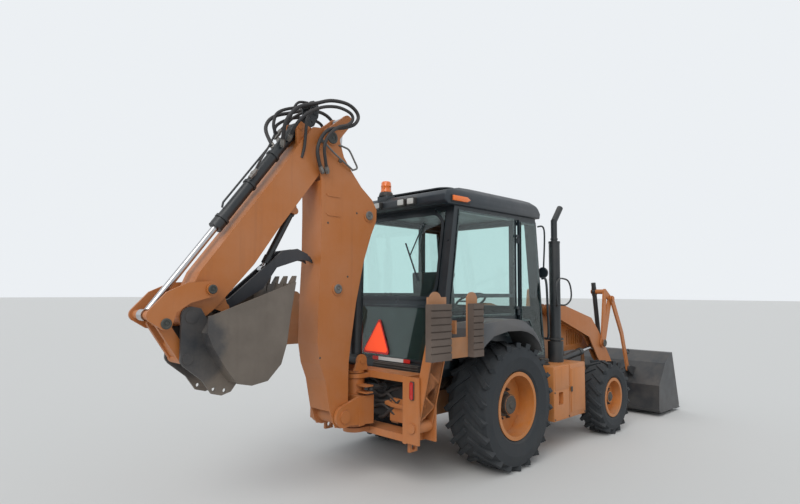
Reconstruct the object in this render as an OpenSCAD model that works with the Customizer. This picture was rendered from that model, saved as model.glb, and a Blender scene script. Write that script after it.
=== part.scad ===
// Backhoe loader with a cab, a front loader, a rear digging arm with a thumb, and two
// stabilizers. +X is forward, +Y is the left side, +Z is up; the ground is Z = 0.
// Side-view points are [x, z], measured from the ground below the rear axle.

/* [Wheels] */
// Radius of a rear tyre, out to its lugs
rear_tyre_r = 640; // [600:1:680]
// Width of a rear tyre
rear_tyre_w = 480; // [420:1:500]
// Radius of a rear rim's flange
rear_rim_r = 340; // [320:1:350]
// Radius of a front tyre, out to its lugs
front_tyre_r = 455; // [430:1:470]
// Width of a front tyre
front_tyre_w = 305; // [280:1:320]
// Radius of a front rim's flange
front_rim_r = 245; // [230:1:255]
// Height of a tyre's lugs
lug_h = 28; // [20:1:34]
// Distance between the axles
wheelbase = 2165; // [2120:1:2200]
// Middle of a rear tyre, from the centre plane
rear_track_half = 812; // [805:1:830]
// Middle of a front tyre, from the centre plane
front_track_half = 905; // [890:1:930]

/* [Chassis] */
// Outer half width of the chassis rails
rail_half_w = 340; // [320:1:350]
// Height of a chassis rail
rail_h = 240; // [200:1:260]
// Height of the rails' underside
rail_z = 520; // [500:1:540]
// Thickness of a rail's wall
rail_wall = 30; // [20:1:40]

/* [Cab] */
// Outer half width of the cab above the fenders
cab_half_w = 720; // [700:1:735]
// Half width of the cab between the rear tyres
cab_low_half_w = 520; // [490:1:535]
// Thickness of the cab's posts and panels
cab_wall = 60; // [50:1:70]
// Thickness of the window glass
glass_t = 8; // [6:1:12]
// Height of the cab floor's underside
floor_z = 930; // [900:1:950]
// Height of the windows' top edge
window_top_z = 2590; // [2560:1:2610]
// Height of the roof's underside
roof_z = 2650; // [2640:1:2680]
// Height of the roof's crown above its underside
roof_h = 190; // [150:1:220]

/* [Loader] */
// Middle of a lift arm, from the centre plane
arm_y = 560; // [556:1:564]
// Thickness of a lift arm
arm_w = 90; // [80:1:100]
// Width of the loader bucket
loader_bucket_w = 2200; // [2080:1:2300]
// Thickness of the loader bucket's plates
loader_plate = 16; // [12:1:20]

/* [Digging arm] */
// Outer half width of the boom
boom_half_w = 150; // [145:1:155]
// Thickness of the boom's side plates
boom_plate = 16; // [12:1:20]
// Outer half width of the dipper
dipper_half_w = 116; // [112:1:118]
// Distance from the dipper's top pin to its tip pin
dipper_len = 2080; // [2060:1:2100]
// Width of the digging bucket
dig_bucket_w = 610; // [580:1:640]
// Thickness of the digging bucket's plates
dig_plate = 16; // [12:1:20]

/* [Stabilizers] */
// Distance from a leg's pivot to its foot's pin
leg_len = 930; // [900:1:950]
// Width of a leg along the machine
leg_w = 190; // [170:1:200]
// Height of a raised foot
foot_len = 540; // [520:1:560]

/* [Hidden] */
// Every round face is a true curve
$fn = 48;
// Shift from the rear axle to the middle of the machine's length
rear_axle_x = -470;
// Play round a hinge pin
pin_gap = 0.5;
// Side gap between moving plates
side_gap = 6;
// Play of a rod in its barrel
rod_gap = 1;

// Digging arm's pins, in side view
swing_x = -1300;
boom_foot = [-1580, 640];
boom_cyl_base = [-1290, 1120];
boom_cyl_eye = [-1270, 2530];
dipper_cyl_base = [-1650, 1810];
boom_top = [-1740, 3215];
dipper_horn = [-1520, 3430];
// Direction of the dipper, from its top pin to its tip, measured from +X
dipper_angle = 231.3;
// Points on the dipper: [along it from the top pin, across it towards the outer side]
tool_cyl_base = [150, 272];
guide_pin = [dipper_len - 250, 20];
guide_rod_pin = [dipper_len + 167, 236];
guide_link_pin = [dipper_len + 158, 128];
tool_link_pin = [dipper_len + 255, -181];
thumb_pin = [dipper_len - 230, -192];
thumb_cyl_base = [dipper_len - 1320, -190];

// Loader's pins, in side view
arm_pivot = [1420, 1560];
arm_knee = [2760, 1080];
arm_tip = [3400, 260];
crank_top = [3010, 1700];
bucket_tilt_pin = [3500, 660];
lift_cyl_base = [1330, 880];
lift_cyl_eye = [2560, 1040];
tilt_cyl_foot = [3070, 560];
tilt_cyl_top = [2850, 1800];

// Stabilizer pivot: [x, distance from the centre plane, z]
leg_pivot = [-1120, 720, 570];
// A raised leg's lean from level
leg_angle = 76;

// Everything is drawn from the rear axle and moved to the machine's middle
module placed() {
    translate([rear_axle_x, 0, 0]) children();
}

module both_sides() {
    children();
    mirror([0, 1, 0]) children();
}

// A side-view outline made solid between two distances from the centre plane
module slab(y0, y1) {
    translate([0, y1, 0]) rotate([90, 0, 0]) linear_extrude(y1 - y0) children();
}

// A round bar along Y, at a side-view point
module pin(p, r, y0, y1) {
    translate([p[0], y1, p[1]]) rotate([90, 0, 0]) cylinder(r = r, h = y1 - y0);
}

// A box between two corners
module block(low, high) {
    translate(low) cube(high - low);
}

// A flat bar with round ends, in side view
module bar(a, b, ra, rb) {
    run = b - a;
    n = [-run[1], run[0]] / norm(run) * 0.985;
    translate(a) circle(r = ra);
    translate(b) circle(r = rb);
    polygon([a + n * ra, b + n * rb, b - n * rb, a - n * ra]);
}

// Puts +X along the line from one side-view point to another
module along(a, b) {
    translate([a[0], 0, a[1]]) rotate([0, -atan2(b[1] - a[1], b[0] - a[0]), 0]) children();
}

// A cylinder's barrel: eye at the origin, open end at length len along +X
module barrel(len, r, rod_r, eye_r, eye_w, bore) {
    difference() {
        union() {
            rotate([90, 0, 0]) cylinder(r = eye_r, h = eye_w, center = true);
            translate([0, -eye_w / 2, -eye_r * 0.8]) cube([eye_r + 12, eye_w, eye_r * 1.6]);
            translate([eye_r + 10, 0, 0]) rotate([0, 90, 0]) cylinder(r = r, h = len - eye_r - 10);
            translate([len - 70, 0, 0]) rotate([0, 90, 0]) cylinder(r = r + 7, h = 70);
        }
        translate([eye_r + 40, 0, 0]) rotate([0, 90, 0]) cylinder(r = rod_r + rod_gap, h = len);
        rotate([90, 0, 0]) cylinder(r = bore, h = eye_w + 2, center = true);
    }
}

// A cylinder's rod: eye at distance reach along +X, bar running back by len
module rod(reach, len, rod_r, eye_r, eye_w) {
    translate([reach, 0, 0]) rotate([90, 0, 0]) cylinder(r = eye_r, h = eye_w, center = true);
    translate([reach - len, 0, 0]) rotate([0, 90, 0]) cylinder(r = rod_r, h = len - eye_r * 0.6);
}

// Machine frame

// Hood's hinge pin, in side view
hood_pin = [2790, 1250];
// Inner face of the towers that carry the lift arms
tower_y = rail_half_w + 95;

module main_frame() {
    color("sienna") placed() {
        both_sides() {
            difference() {
                block([-1040, rail_half_w - 90, rail_z], [2700, rail_half_w, rail_z + rail_h]);
                block([-1000, rail_half_w - 91, rail_z + rail_wall],
                    [2660, rail_half_w - rail_wall, rail_z + rail_h - rail_wall]);
            }
            // Tower with the pins of the lift arm and of its cylinder
            block([1250, rail_half_w - 1, rail_z + 20], [1500, tower_y + 1, rail_z + 200]);
            slab(tower_y, tower_y + 35) {
                polygon([[1180, 560], [1560, 560], [1540, 1200], [1495, 1560], [1345, 1560], [1230, 1200]]);
                translate(arm_pivot) circle(r = 80);
            }
            pin(arm_pivot, 55, tower_y + 34, arm_y - arm_w / 2 - side_gap);
            pin(arm_pivot, 32, tower_y + 34, arm_y + arm_w / 2 + 20);
            pin(arm_pivot, 46, arm_y + arm_w / 2 + side_gap, arm_y + arm_w / 2 + 20);
            pin(lift_cyl_base, 44, tower_y + 34, arm_y - 23 - side_gap);
            pin(lift_cyl_base, 28, tower_y + 34, arm_y + 40);
            pin(lift_cyl_base, 40, arm_y + 23 + side_gap, arm_y + 40);
            // Cab mounts
            for (x = [-600, 880])
                translate([x, rail_half_w - 45, rail_z + rail_h - 1])
                    cylinder(r = 40, h = floor_z - rail_z - rail_h + 0.7);
            // Bracket of the hood's hinge
            block([2600, rail_half_w - 1, 640], [2680, 398, 720]);
            difference() {
                slab(380, 398)
                    polygon([[2580, 640], [2690, 640], [2640, 940], [2640, 1010], [2818, 1225],
                        [2800, 1285], [2770, 1285], [2580, 960]]);
                pin(hood_pin, 12 + pin_gap, 370, 400);
            }
            // Front tie-down eye, on a flange bolted to the front cross member
            difference() {
                union() {
                    block([2700.3, 165, 565], [2716, 265, 695]);
                    block([2715, 200, 575], [2810, 230, 685]);
                }
                pin([2760, 630], 25, 160, 270);
            }
        }
        for (x = [-700, 500, 1180, 2630])
            block([x, -rail_half_w + rail_wall - 1, rail_z + 40],
                [x + 70, rail_half_w - rail_wall + 1, rail_z + 200]);
        // Saddle over the front axle
        block([wheelbase - 90, -rail_half_w + rail_wall - 1, rail_z + 45],
            [wheelbase + 90, rail_half_w - rail_wall + 1, rail_z + 180]);
    }
}

module engine() {
    color("dimgray") placed() {
        block([1500, -210, 800], [2420, 210, 1280]);
        both_sides() for (x = [1600, 2250])
            block([x, 200, rail_z + rail_h + 0.3], [x + 90, rail_half_w - 20, 850]);
        block([570.3, -200, rail_z + 45], [1179.7, 200, 880]);
    }
}

// King pin of a front wheel, from the centre plane
king_y = 610;

module axles() {
    rear_end = rear_track_half + rear_tyre_w * 0.0172 - 20.5;
    rear = [0, rear_tyre_r];
    front = [wheelbase, front_tyre_r];
    color("dimgray") placed() {
        // Rear axle with its final drives
        pin(rear, 110, -rail_half_w + 90.3, rail_half_w - 90.3);
        pin(rear, 190, -170, 170);
        both_sides() {
            pin(rear, 110, rail_half_w + 0.3, 540);
            pin(rear, 165, 520, 620);
            pin(rear, 80, 600, rear_end);
        }
        // Front axle beam with its king pin bosses and centre pivot
        pin(front, 58, -565, 565);
        pin(front, 100, -60, 100);
        both_sides() translate([wheelbase, king_y, front_tyre_r]) difference() {
            cylinder(r = 60, h = 150, center = true);
            cylinder(r = 22 + pin_gap, h = 160, center = true);
        }
        block([wheelbase - 80, -80, front_tyre_r + 15], [wheelbase + 80, 80, rail_z + 44.7]);
    }
}

module knuckle() {
    placed() translate([wheelbase, 0, front_tyre_r]) {
        for (z = [-115, 81])
            translate([0, king_y, z]) cylinder(r = 62, h = 34);
        translate([0, king_y, -100]) cylinder(r = 22, h = 200);
        for (z = [-98, 98])
            translate([0, 655, z]) cube([100, 90, 34], center = true);
        translate([0, 700, 0]) cube([110, 50, 230], center = true);
        pin([0, 0], 60, 700, front_track_half + front_tyre_w * 0.0172 - 20.5);
    }
}

module knuckle_left() {
    color("dimgray") knuckle();
}

module knuckle_right() {
    color("dimgray") mirror([0, 1, 0]) knuckle();
}

// Wheels, drawn on the left side and mirrored

module tyre(r, w, rim_r, lugs, lug_w) {
    body_r = r - lug_h;
    shoulder = rim_r + (body_r - rim_r) * 0.55;
    bead = w * 0.3612 - 0.9;
    edge = w * 0.43 - 15.4;
    rotate([90, 0, 0]) rotate_extrude()
        polygon([[rim_r - 27.7, -bead], [rim_r + 1, -edge], [rim_r + 30, -w * 0.46], [shoulder, -w / 2],
            [body_r - 30, -w * 0.47], [body_r, -w * 0.30], [body_r + 4, 0], [body_r, w * 0.30],
            [body_r - 30, w * 0.47], [shoulder, w / 2], [rim_r + 30, w * 0.46], [rim_r + 1, edge],
            [rim_r - 27.7, bead]]);
    // Slanted lugs, by turns on each half of the tread
    lug_run = w * 0.62;
    lug_top = sqrt(r * r - pow(lug_run * 0.5 * sin(40) + lug_w / 2, 2));
    for (i = [0:lugs - 1], side = [-1, 1])
        rotate([0, (i + (side > 0 ? 0.5 : 0)) * 360 / lugs, 0])
            translate([0, side * w * 0.235, lug_top - 60])
                rotate([0, 0, side * 40])
                    translate([-lug_w / 2, -lug_run / 2, 0]) cube([lug_w, lug_run, 60]);
}

module wheel_tyre(front) {
    x = front ? wheelbase : 0;
    y = front ? front_track_half : rear_track_half;
    r = front ? front_tyre_r : rear_tyre_r;
    w = front ? front_tyre_w : rear_tyre_w;
    placed() translate([x, y, r])
        tyre(r, w, front ? front_rim_r : rear_rim_r, front ? 18 : 22, front ? 38 : 46);
}

module wheel_rim(front) {
    x = front ? wheelbase : 0;
    y = front ? front_track_half : rear_track_half;
    r = front ? front_tyre_r : rear_tyre_r;
    rim_r = front ? front_rim_r : rear_rim_r;
    w = (front ? front_tyre_w : rear_tyre_w) * 0.86;
    seat_r = rim_r - 28;
    placed() translate([x, y, r]) {
        rotate([-90, 0, 0]) rotate_extrude()
            polygon([[seat_r - 10, -w / 2], [rim_r, -w / 2], [rim_r, -w / 2 + 14], [seat_r, -w * 0.42],
                [seat_r, w * 0.42], [rim_r, w / 2 - 14], [rim_r, w / 2], [seat_r - 10, w / 2]]);
        // Disc and hub
        translate([0, w * 0.02, 0]) rotate([-90, 0, 0]) cylinder(r = seat_r - 5, h = 18);
        translate([0, w * 0.02 - 20, 0]) rotate([-90, 0, 0])
            cylinder(r = front ? 70 : 95, h = front ? 95 : 130);
    }
}

module tyre_rear_left() {
    color("black") wheel_tyre(false);
}

module tyre_rear_right() {
    color("black") mirror([0, 1, 0]) wheel_tyre(false);
}

module tyre_front_left() {
    color("black") wheel_tyre(true);
}

module tyre_front_right() {
    color("black") mirror([0, 1, 0]) wheel_tyre(true);
}

module rim_rear_left() {
    color("darkorange") wheel_rim(false);
}

module rim_rear_right() {
    color("darkorange") mirror([0, 1, 0]) wheel_rim(false);
}

module rim_front_left() {
    color("darkorange") wheel_rim(true);
}

module rim_front_right() {
    color("darkorange") mirror([0, 1, 0]) wheel_rim(true);
}

// Cab

// The cab's slanted rear and front faces, at a height
function rear_x(z) = -890 + (z - 1050) * 250 / 1600;
function front_x(z) = 1045 - (z - 1000) * 195 / 1650;

// A front-view outline made solid between two distances forward
module ribbon(x0, x1) {
    translate([x0, 0, 0]) rotate([90, 0, 90]) linear_extrude(x1 - x0) children();
}

// A slanted strip of the rear or front face, between two heights
module rear_strip(z0, z1, out, depth) {
    polygon([[rear_x(z0) - out, z0], [rear_x(z1) - out, z1], [rear_x(z1) - out + depth, z1],
        [rear_x(z0) - out + depth, z0]]);
}

module front_strip(z0, z1, out, depth) {
    polygon([[front_x(z0) + out, z0], [front_x(z1) + out, z1], [front_x(z1) + out - depth, z1],
        [front_x(z0) + out - depth, z0]]);
}

// The side wall's outline, over the wheel arch
module side_outline() {
    polygon([[rear_x(1050), 1050], [rear_x(roof_z), roof_z], [front_x(roof_z), roof_z],
        [front_x(1000), 1000], [724, 1000], [706, 1180], [600, 1400], [-600, 1400], [-706, 1180],
        [-724, 1050]]);
}

door_outline = [[450, 1460], [450, window_top_z], [800, window_top_z], [975, 1040], [780, 1040],
    [760, 1220], [640, 1440]];

module rear_side_window(margin) {
    polygon([[rear_x(1550) + 100 + margin, 1550 + margin],
        [rear_x(window_top_z) + 90 + margin, window_top_z - margin], [385 - margin, window_top_z - margin],
        [385 - margin, 1550 + margin]]);
}

module cab_frame() {
    color("darkslategray") placed() {
        both_sides() {
            difference() {
                slab(cab_half_w - cab_wall, cab_half_w) side_outline();
                slab(cab_half_w - cab_wall - 1, cab_half_w + 1) polygon(door_outline);
                slab(cab_half_w - cab_wall - 1, cab_half_w + 1) rear_side_window(0);
            }
            // Bar across the rear side window
            slab(cab_half_w - 40, cab_half_w - 5)
                polygon([[rear_x(1730) + 60, 1730], [rear_x(1770) + 60, 1770], [400, 1770], [400, 1730]]);
            // Wheel arch
            block([-690, cab_low_half_w - 40, 1400], [590, cab_half_w - cab_wall, 1440]);
            block([-820, cab_low_half_w - 40, floor_z], [960, cab_low_half_w, 1400]);
        }
        // Rear wall with its two windows
        difference() {
            slab(-cab_half_w + cab_wall, cab_half_w - cab_wall) rear_strip(floor_z, roof_z, 0, cab_wall);
            block([-1100, -600, 1110], [-400, 600, 1640]);
            block([-1100, -600, 1720], [-400, 600, window_top_z]);
        }
        // Front wall with its windscreen
        difference() {
            slab(-cab_half_w + cab_wall, cab_half_w - cab_wall) front_strip(floor_z, roof_z, 0, cab_wall);
            block([500, -600, 1620], [1400, 600, window_top_z]);
        }
        // Floor
        block([-880, -cab_low_half_w, floor_z], [1000, cab_low_half_w, floor_z + 50]);
        block([rear_x(1050) + 5, -cab_half_w, 1050], [-724, cab_half_w, 1090]);
        both_sides() block([724, cab_low_half_w - 1, 1000], [1040, cab_half_w, 1036]);
        // Hinge pins for the doors
        both_sides()
            for (z = [1600, 2400]) {
                block([410, cab_half_w - 5, z], [455, cab_half_w + 30, z + 30]);
                translate([446, cab_half_w + 20, z - 70]) cylinder(r = 7, h = 75);
            }
    }
}

module cab_roof() {
    color("darkslategray") placed() {
        // Pad for the beacon
        block([-800, 85, roof_z + 100], [-670, 215, roof_z + 150]);
        intersection() {
            slab(-cab_half_w - 40, cab_half_w + 40)
                polygon([[-770, roof_z + 0.3], [-800, roof_z + 70], [-740, roof_z + 130],
                    [-350, roof_z + roof_h], [450, roof_z + roof_h], [820, roof_z + 130],
                    [930, roof_z + 50], [910, roof_z + 0.3]]);
            ribbon(-900, 1000)
                polygon([[-cab_half_w - 30, roof_z], [-cab_half_w - 30, roof_z + 90],
                    [-cab_half_w + 60, roof_z + 140], [-350, roof_z + roof_h], [350, roof_z + roof_h],
                    [cab_half_w - 60, roof_z + 140], [cab_half_w + 30, roof_z + 90],
                    [cab_half_w + 30, roof_z]]);
        }
    }
}

module cab_glass() {
    color("lightseagreen", 0.4) placed() {
        both_sides() slab(cab_half_w + 0.3, cab_half_w + 0.3 + glass_t) rear_side_window(-20);
        slab(-620, 620) rear_strip(1095, 1655, glass_t + 0.3, glass_t);
        slab(-620, 620) rear_strip(1705, window_top_z + 15, glass_t + 0.3, glass_t);
        slab(-620, 620) front_strip(1605, window_top_z + 15, glass_t + 0.3, glass_t);
    }
}

module controls() {
    color("black") placed() {
        // Front console and steering wheel
        block([640, -150, floor_z + 50.3], [800, 150, 1500]);
        translate([640, 0, 1490]) rotate([0, -30, 0]) {
            cylinder(r = 30, h = 210);
            translate([0, 0, 200]) cylinder(r = 45, h = 20);
            translate([0, 0, 212]) rotate_extrude() translate([185, 0]) circle(r = 14);
            for (a = [90, 210, 330])
                rotate([0, 0, a]) translate([30, -12, 206]) cube([145, 24, 10]);
        }
        // Rear consoles with their levers
        both_sides() {
            block([-560, 330, floor_z + 50.3], [-400, 440, 1560]);
            for (x = [-520, -440])
                translate([x, 385, 1550]) {
                    cylinder(r = 8, h = 200);
                    translate([0, 0, 200]) sphere(r = 26);
                }
        }
    }
}

module seat() {
    color("black") placed() {
        block([-150, -160, floor_z + 50.3], [200, 160, 1330]);
        block([-190, -250, 1330], [300, 250, 1430]);
        slab(-240, 240) polygon([[-190, 1400], [-60, 1400], [-130, 2020], [-240, 2020]]);
        for (y = [-300, 260])
            block([-180, y, 1560], [120, y + 40, 1610]);
        for (y = [-300, 240])
            block([-180, y, 1570], [-150, y + 60, 1600]);
    }
}

// Fender outline over a rear tyre, outer line then inner line
fender_outline = [[-668, 1385], [-655, 1490], [-615, 1520], [-130, 1520], [120, 1460], [380, 1290],
    [530, 1100], [518, 1093], [371, 1280], [115, 1448], [-132, 1507], [-611, 1507], [-643, 1483],
    [-655, 1384]];

module fenders() {
    color("dimgray") placed() both_sides() {
        slab(cab_half_w + 0.3, 1060) polygon(fender_outline);
        // Lip that hangs outside the tyre
        slab(1056, 1068) polygon([[-668, 1385], [-655, 1490], [-615, 1520], [-130, 1520], [120, 1460],
            [380, 1290], [530, 1100], [485, 1065], [345, 1215], [95, 1390], [-140, 1450], [-580, 1450],
            [-610, 1384]]);
    }
}

module side_tanks() {
    color("darkorange") placed() both_sides() {
        difference() {
            block([780, 620, 345], [1520, 865, 880]);
            block([1128, 855, 340], [1140, 870, 890]);
        }
        block([1200, 864, 420], [1270, 885, 440]);
        // Brackets to the rail
        for (x = [850, 1060])
            block([x, rail_half_w + 0.3, 600], [x + 60, 621, 700]);
    }
}

module exhaust() {
    color("black") placed() translate([1250, -740, 0]) {
        translate([0, 0, 880.3]) cylinder(r = 92, h = 320);
        translate([0, 0, 1190]) cylinder(r = 66, h = 1220);
        translate([0, 0, 2400]) cylinder(r = 38, h = 270);
        translate([0, 0, 2655]) rotate([0, 40, 0]) cylinder(r = 37, h = 240);
    }
}

module lamps() {
    color("red") placed() {
        // Beacon on its pad
        translate([-735, 150, roof_z + 150.3]) {
            cylinder(r = 62, h = 40);
            cylinder(r = 52, h = 150);
        }
        both_sides() {
            for (y = [390, 560]) {
                block([-880, y, roof_z + 25], [-800.3, y + 120, roof_z + 110]);
                block([930.3, y, roof_z + 15], [1000, y + 120, roof_z + 100]);
            }
            block([-1262, 690, 820], [-1240.3, 755, 985]);
        }
        block([-560, -cab_half_w - 55, roof_z + 10], [-500, -cab_half_w - 30.3, roof_z + 60]);
    }
}

module hood() {
    color("darkorange") placed() {
        difference() {
            slab(-420, 420)
                polygon([[1120, 1000], [1120, 1550], [2600, 1425], [2800, 1388], [2880, 1320],
                    [2880, 1000]]);
            slab(-404, 404)
                polygon([[1100, 990], [1100, 1533], [2596, 1408], [2790, 1372], [2864, 1312],
                    [2864, 990]]);
            block([2850, -330, 1040], [2900, 330, 1290]);
            for (x = [2100:60:2520])
                block([x, -430, 1080], [x + 30, 430, 1280]);
        }
        both_sides() pin(hood_pin, 12, 374, 405);
    }
}

module grille() {
    color("black") placed() difference() {
        block([2866, -329.7, 1040.3], [2880, 329.7, 1289.7]);
        for (z = [1060:28:1256])
            block([2860, -300, z], [2890, 300, z + 14]);
    }
}

module door() {
    placed() difference() {
        union() {
            difference() {
                slab(cab_half_w + 5, cab_half_w + 33)
                    polygon([[462, 1450], [462, window_top_z + 10], [812, window_top_z + 10], [990, 1030],
                        [770, 1030], [748, 1215], [632, 1438]]);
                slab(cab_half_w, cab_half_w + 40)
                    polygon([[500, 1490], [500, window_top_z - 30], [775, window_top_z - 30], [930, 1090],
                        [810, 1090], [795, 1240], [660, 1480]]);
            }
            for (z = [1535, 2335]) {
                block([448, cab_half_w + 8, z], [480, cab_half_w + 32, z + 58]);
                translate([446, cab_half_w + 20, z]) cylinder(r = 14, h = 58);
            }
        }
        translate([446, cab_half_w + 20, 1500]) cylinder(r = 7 + pin_gap, h = 1000);
    }
}

module door_glass() {
    placed() slab(cab_half_w + 33.3, cab_half_w + 33.3 + glass_t)
        polygon([[482, 1470], [482, window_top_z - 12], [793, window_top_z - 12], [952, 1068],
            [792, 1068], [775, 1228], [650, 1460]]);
}

module door_left() {
    color("darkslategray") door();
}

module door_right() {
    color("darkslategray") mirror([0, 1, 0]) door();
}

module door_glass_left() {
    color("lightseagreen", 0.4) door_glass();
}

module door_glass_right() {
    color("lightseagreen", 0.4) mirror([0, 1, 0]) door_glass();
}

// Front loader: each part is drawn on the left side and mirrored

arm_outline = [[1400, 1636], [1680, 1632], [2470, 1440], [2680, 1250], [3020, 860], [3458, 308],
    [3345, 205], [2920, 640], [2630, 890], [2400, 1180], [1600, 1450], [1400, 1486]];
// Middle of a tilt cylinder, from the centre plane
tilt_y = arm_y - 92;

module loader_arms() {
    y0 = arm_y - arm_w / 2;
    y1 = arm_y + arm_w / 2;
    color("darkorange") placed() {
        both_sides() difference() {
            union() {
                for (y = [y0, y1 - 15])
                    slab(y, y + 15) {
                        polygon(arm_outline);
                        translate(arm_pivot) circle(r = 76);
                        translate(arm_tip) circle(r = 74);
                    }
                // Upper and under plates between the side plates
                slab(y0 + 14, y1 - 14) {
                    polygon([[1680, 1632], [2470, 1440], [2680, 1250], [3020, 860], [3380, 406],
                        [3369, 398], [3009, 851], [2670, 1239], [2463, 1427], [1677, 1618]]);
                    polygon([[2920, 640], [3330, 220], [3340, 230], [2930, 650]]);
                }
                pin(arm_pivot, 60, y0, y1);
                pin(arm_tip, 56, y0, y1);
                pin(arm_knee, 50, y0 + 1, y1 - 1);
                pin(arm_knee, 30, y1 - 1, y1 + 48);
                pin(arm_knee, 44, y1 + 30 + side_gap, y1 + 48);
                pin(tilt_cyl_foot, 42, tilt_y + 28, y0 + 1);
            }
            pin(arm_pivot, 32 + pin_gap, y0 - 5, y1 + 5);
            pin(arm_tip, 28 + pin_gap, y0 - 5, y1 + 5);
        }
        pin([3250, 430], 55, -y0 - 1, y0 + 1);
    }
}

module bell_cranks() {
    y1 = arm_y + arm_w / 2;
    color("darkorange") placed() both_sides() difference() {
        union() {
            slab(y1 + 6, y1 + 30) {
                bar(arm_knee, crank_top, 66, 46);
                bar(arm_knee, tilt_cyl_top, 50, 42);
                bar(tilt_cyl_top, crank_top, 42, 44);
            }
            pin(tilt_cyl_top, 34, tilt_y + 25 + side_gap, y1 + 7);
            pin(tilt_cyl_top, 22, tilt_y - 40, tilt_y + 32);
            pin(tilt_cyl_top, 32, tilt_y - 40, tilt_y - 25 - side_gap);
            pin(crank_top, 25, y1 + 29, y1 + 75);
            pin(crank_top, 36, y1 + 60 + side_gap, y1 + 75);
        }
        pin(arm_knee, 30 + pin_gap, y1, y1 + 40);
    }
}

link_bend = [3320, 1190];

module tilt_links() {
    y1 = arm_y + arm_w / 2;
    color("darkorange") placed() both_sides() difference() {
        slab(y1 + 36, y1 + 60) {
            bar(crank_top, link_bend, 44, 40);
            bar(link_bend, bucket_tilt_pin, 40, 40);
        }
        pin(crank_top, 25 + pin_gap, y1, y1 + 70);
    }
}

module tilt_barrels() {
    color("black") placed() both_sides() translate([0, tilt_y, 0]) along(tilt_cyl_top, tilt_cyl_foot) {
        barrel(730, 32, 18, 40, 50, 22 + pin_gap);
        // Closed end above the pin
        translate([-130, 0, 0]) rotate([0, 90, 0]) cylinder(r = 32, h = 88);
        translate([-60, -25, -26]) cube([36, 50, 52]);
    }
}

module tilt_rods() {
    reach = norm(tilt_cyl_foot - tilt_cyl_top);
    color("silver") placed() both_sides() translate([0, tilt_y, 0]) along(tilt_cyl_top, tilt_cyl_foot)
        rod(reach, 900, 18, 32, 44);
}

module lift_barrels() {
    color("black") placed() both_sides() translate([0, arm_y, 0]) along(lift_cyl_base, lift_cyl_eye)
        barrel(900, 44, 25, 46, 46, 28 + pin_gap);
}

module lift_rods() {
    reach = norm(lift_cyl_eye - lift_cyl_base);
    color("silver") placed() both_sides() translate([0, arm_y, 0]) along(lift_cyl_base, lift_cyl_eye)
        rod(reach, 1115, 25, 40, 46);
}

// A polyline's skin of thickness t towards its left, as a closed outline
function left_of(line, i) =
    let (d = line[min(i + 1, len(line) - 1)] - line[max(i - 1, 0)]) [-d[1], d[0]] / norm(d);
function skin(line, t) = concat(line, [for (i = [len(line) - 1:-1:0]) line[i] + t * left_of(line, i)]);

loader_bucket_line = [[4062, 894], [4000, 888], [3770, 750], [3520, 450], [3500, 112], [3560, 62],
    [4290, 52]];

module loader_bucket() {
    half = loader_bucket_w / 2;
    y1 = arm_y + arm_w / 2;
    y0 = arm_y - arm_w / 2;
    color("dimgray") placed() {
        slab(-half + loader_plate - 1, half - loader_plate + 1)
            polygon(skin(loader_bucket_line, loader_plate));
        both_sides() slab(half - loader_plate, half)
            polygon(concat(loader_bucket_line, [[4290, 110]]));
        // Cutting edge
        slab(-half, half) polygon([[4150, 42], [4320, 42], [4320, 52], [4150, 66]]);
        // Ears for the lift arms and the tilt links
        both_sides() {
            slab(y1 + 6, y1 + 30) {
                translate(arm_tip) circle(r = 62);
                translate(bucket_tilt_pin) circle(r = 46);
                polygon([[3390, 199], [3512, 180], [3528, 450], [3700, 662], [3500, 706], [3455, 662],
                    [3340, 275]]);
            }
            slab(y1 + 66, y1 + 90) {
                translate(bucket_tilt_pin) circle(r = 46);
                polygon([[3500, 706], [3700, 662], [3600, 546], [3480, 618]]);
            }
            slab(y0 - 30, y0 - 6) {
                translate(arm_tip) circle(r = 62);
                polygon([[3390, 199], [3512, 180], [3520, 330], [3390, 321]]);
            }
            pin(arm_tip, 28, y0 - 30, y1 + 30);
        }
    }
}

// Digging arm's carrier

module rear_frame() {
    color("darkorange") placed() {
        // Top and bottom beams, with tongues for the king pins
        difference() {
            union() {
                block([-1200, -640, 955], [-1000, 640, 1020]);
                block([-1200, -640, 420], [-1000, 640, 485]);
                for (z = [955, 445]) {
                    block([swing_x, -110, z], [-1150, 110, z + 40]);
                    translate([swing_x, 0, z]) cylinder(r = 110, h = 40);
                }
            }
            translate([swing_x, 0, 0]) cylinder(r = 45, h = 1200);
        }
        both_sides() {
            // Posts round the stabilizer legs
            block([-1240, 600, 420], [-1000, 645, 1020]);
            for (x = [-1240, -1018])
                block([x, 640, 430], [x + 18, 800, 1020]);
            // Leg's pin with its caps
            translate([-1252, leg_pivot[1], leg_pivot[2]]) rotate([0, 90, 0]) cylinder(r = 30, h = 260);
            translate([-1256, leg_pivot[1], leg_pivot[2]]) rotate([0, 90, 0]) cylinder(r = 44, h = 17);
            // Plate against the end of the chassis rail
            block([-1060, 500, 540], [-1040.3, 620, 760]);
            block([-1060, rail_half_w - 88, 540], [-1040.3, 501, 760]);
            // Rear tie-down eye, bolted up under the post
            difference() {
                block([-1180, 606, 330], [-1080, 636, 419.7]);
                pin([-1130, 375], 25, 590, 650);
            }
        }
    }
}

module hydraulics() {
    color("black") placed() both_sides() {
        translate([-1090, 190, 860]) rotate([0, 90, 0]) cylinder(r = 42, h = 400);
        translate([-1240, 190, 860]) rotate([0, 90, 0]) cylinder(r = 18, h = 160);
        translate([-1255, 190, 846]) cylinder(r = 30, h = 28);
        block([-1060, 172, 890], [-1010, 208, 954.7]);
    }
}

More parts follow.
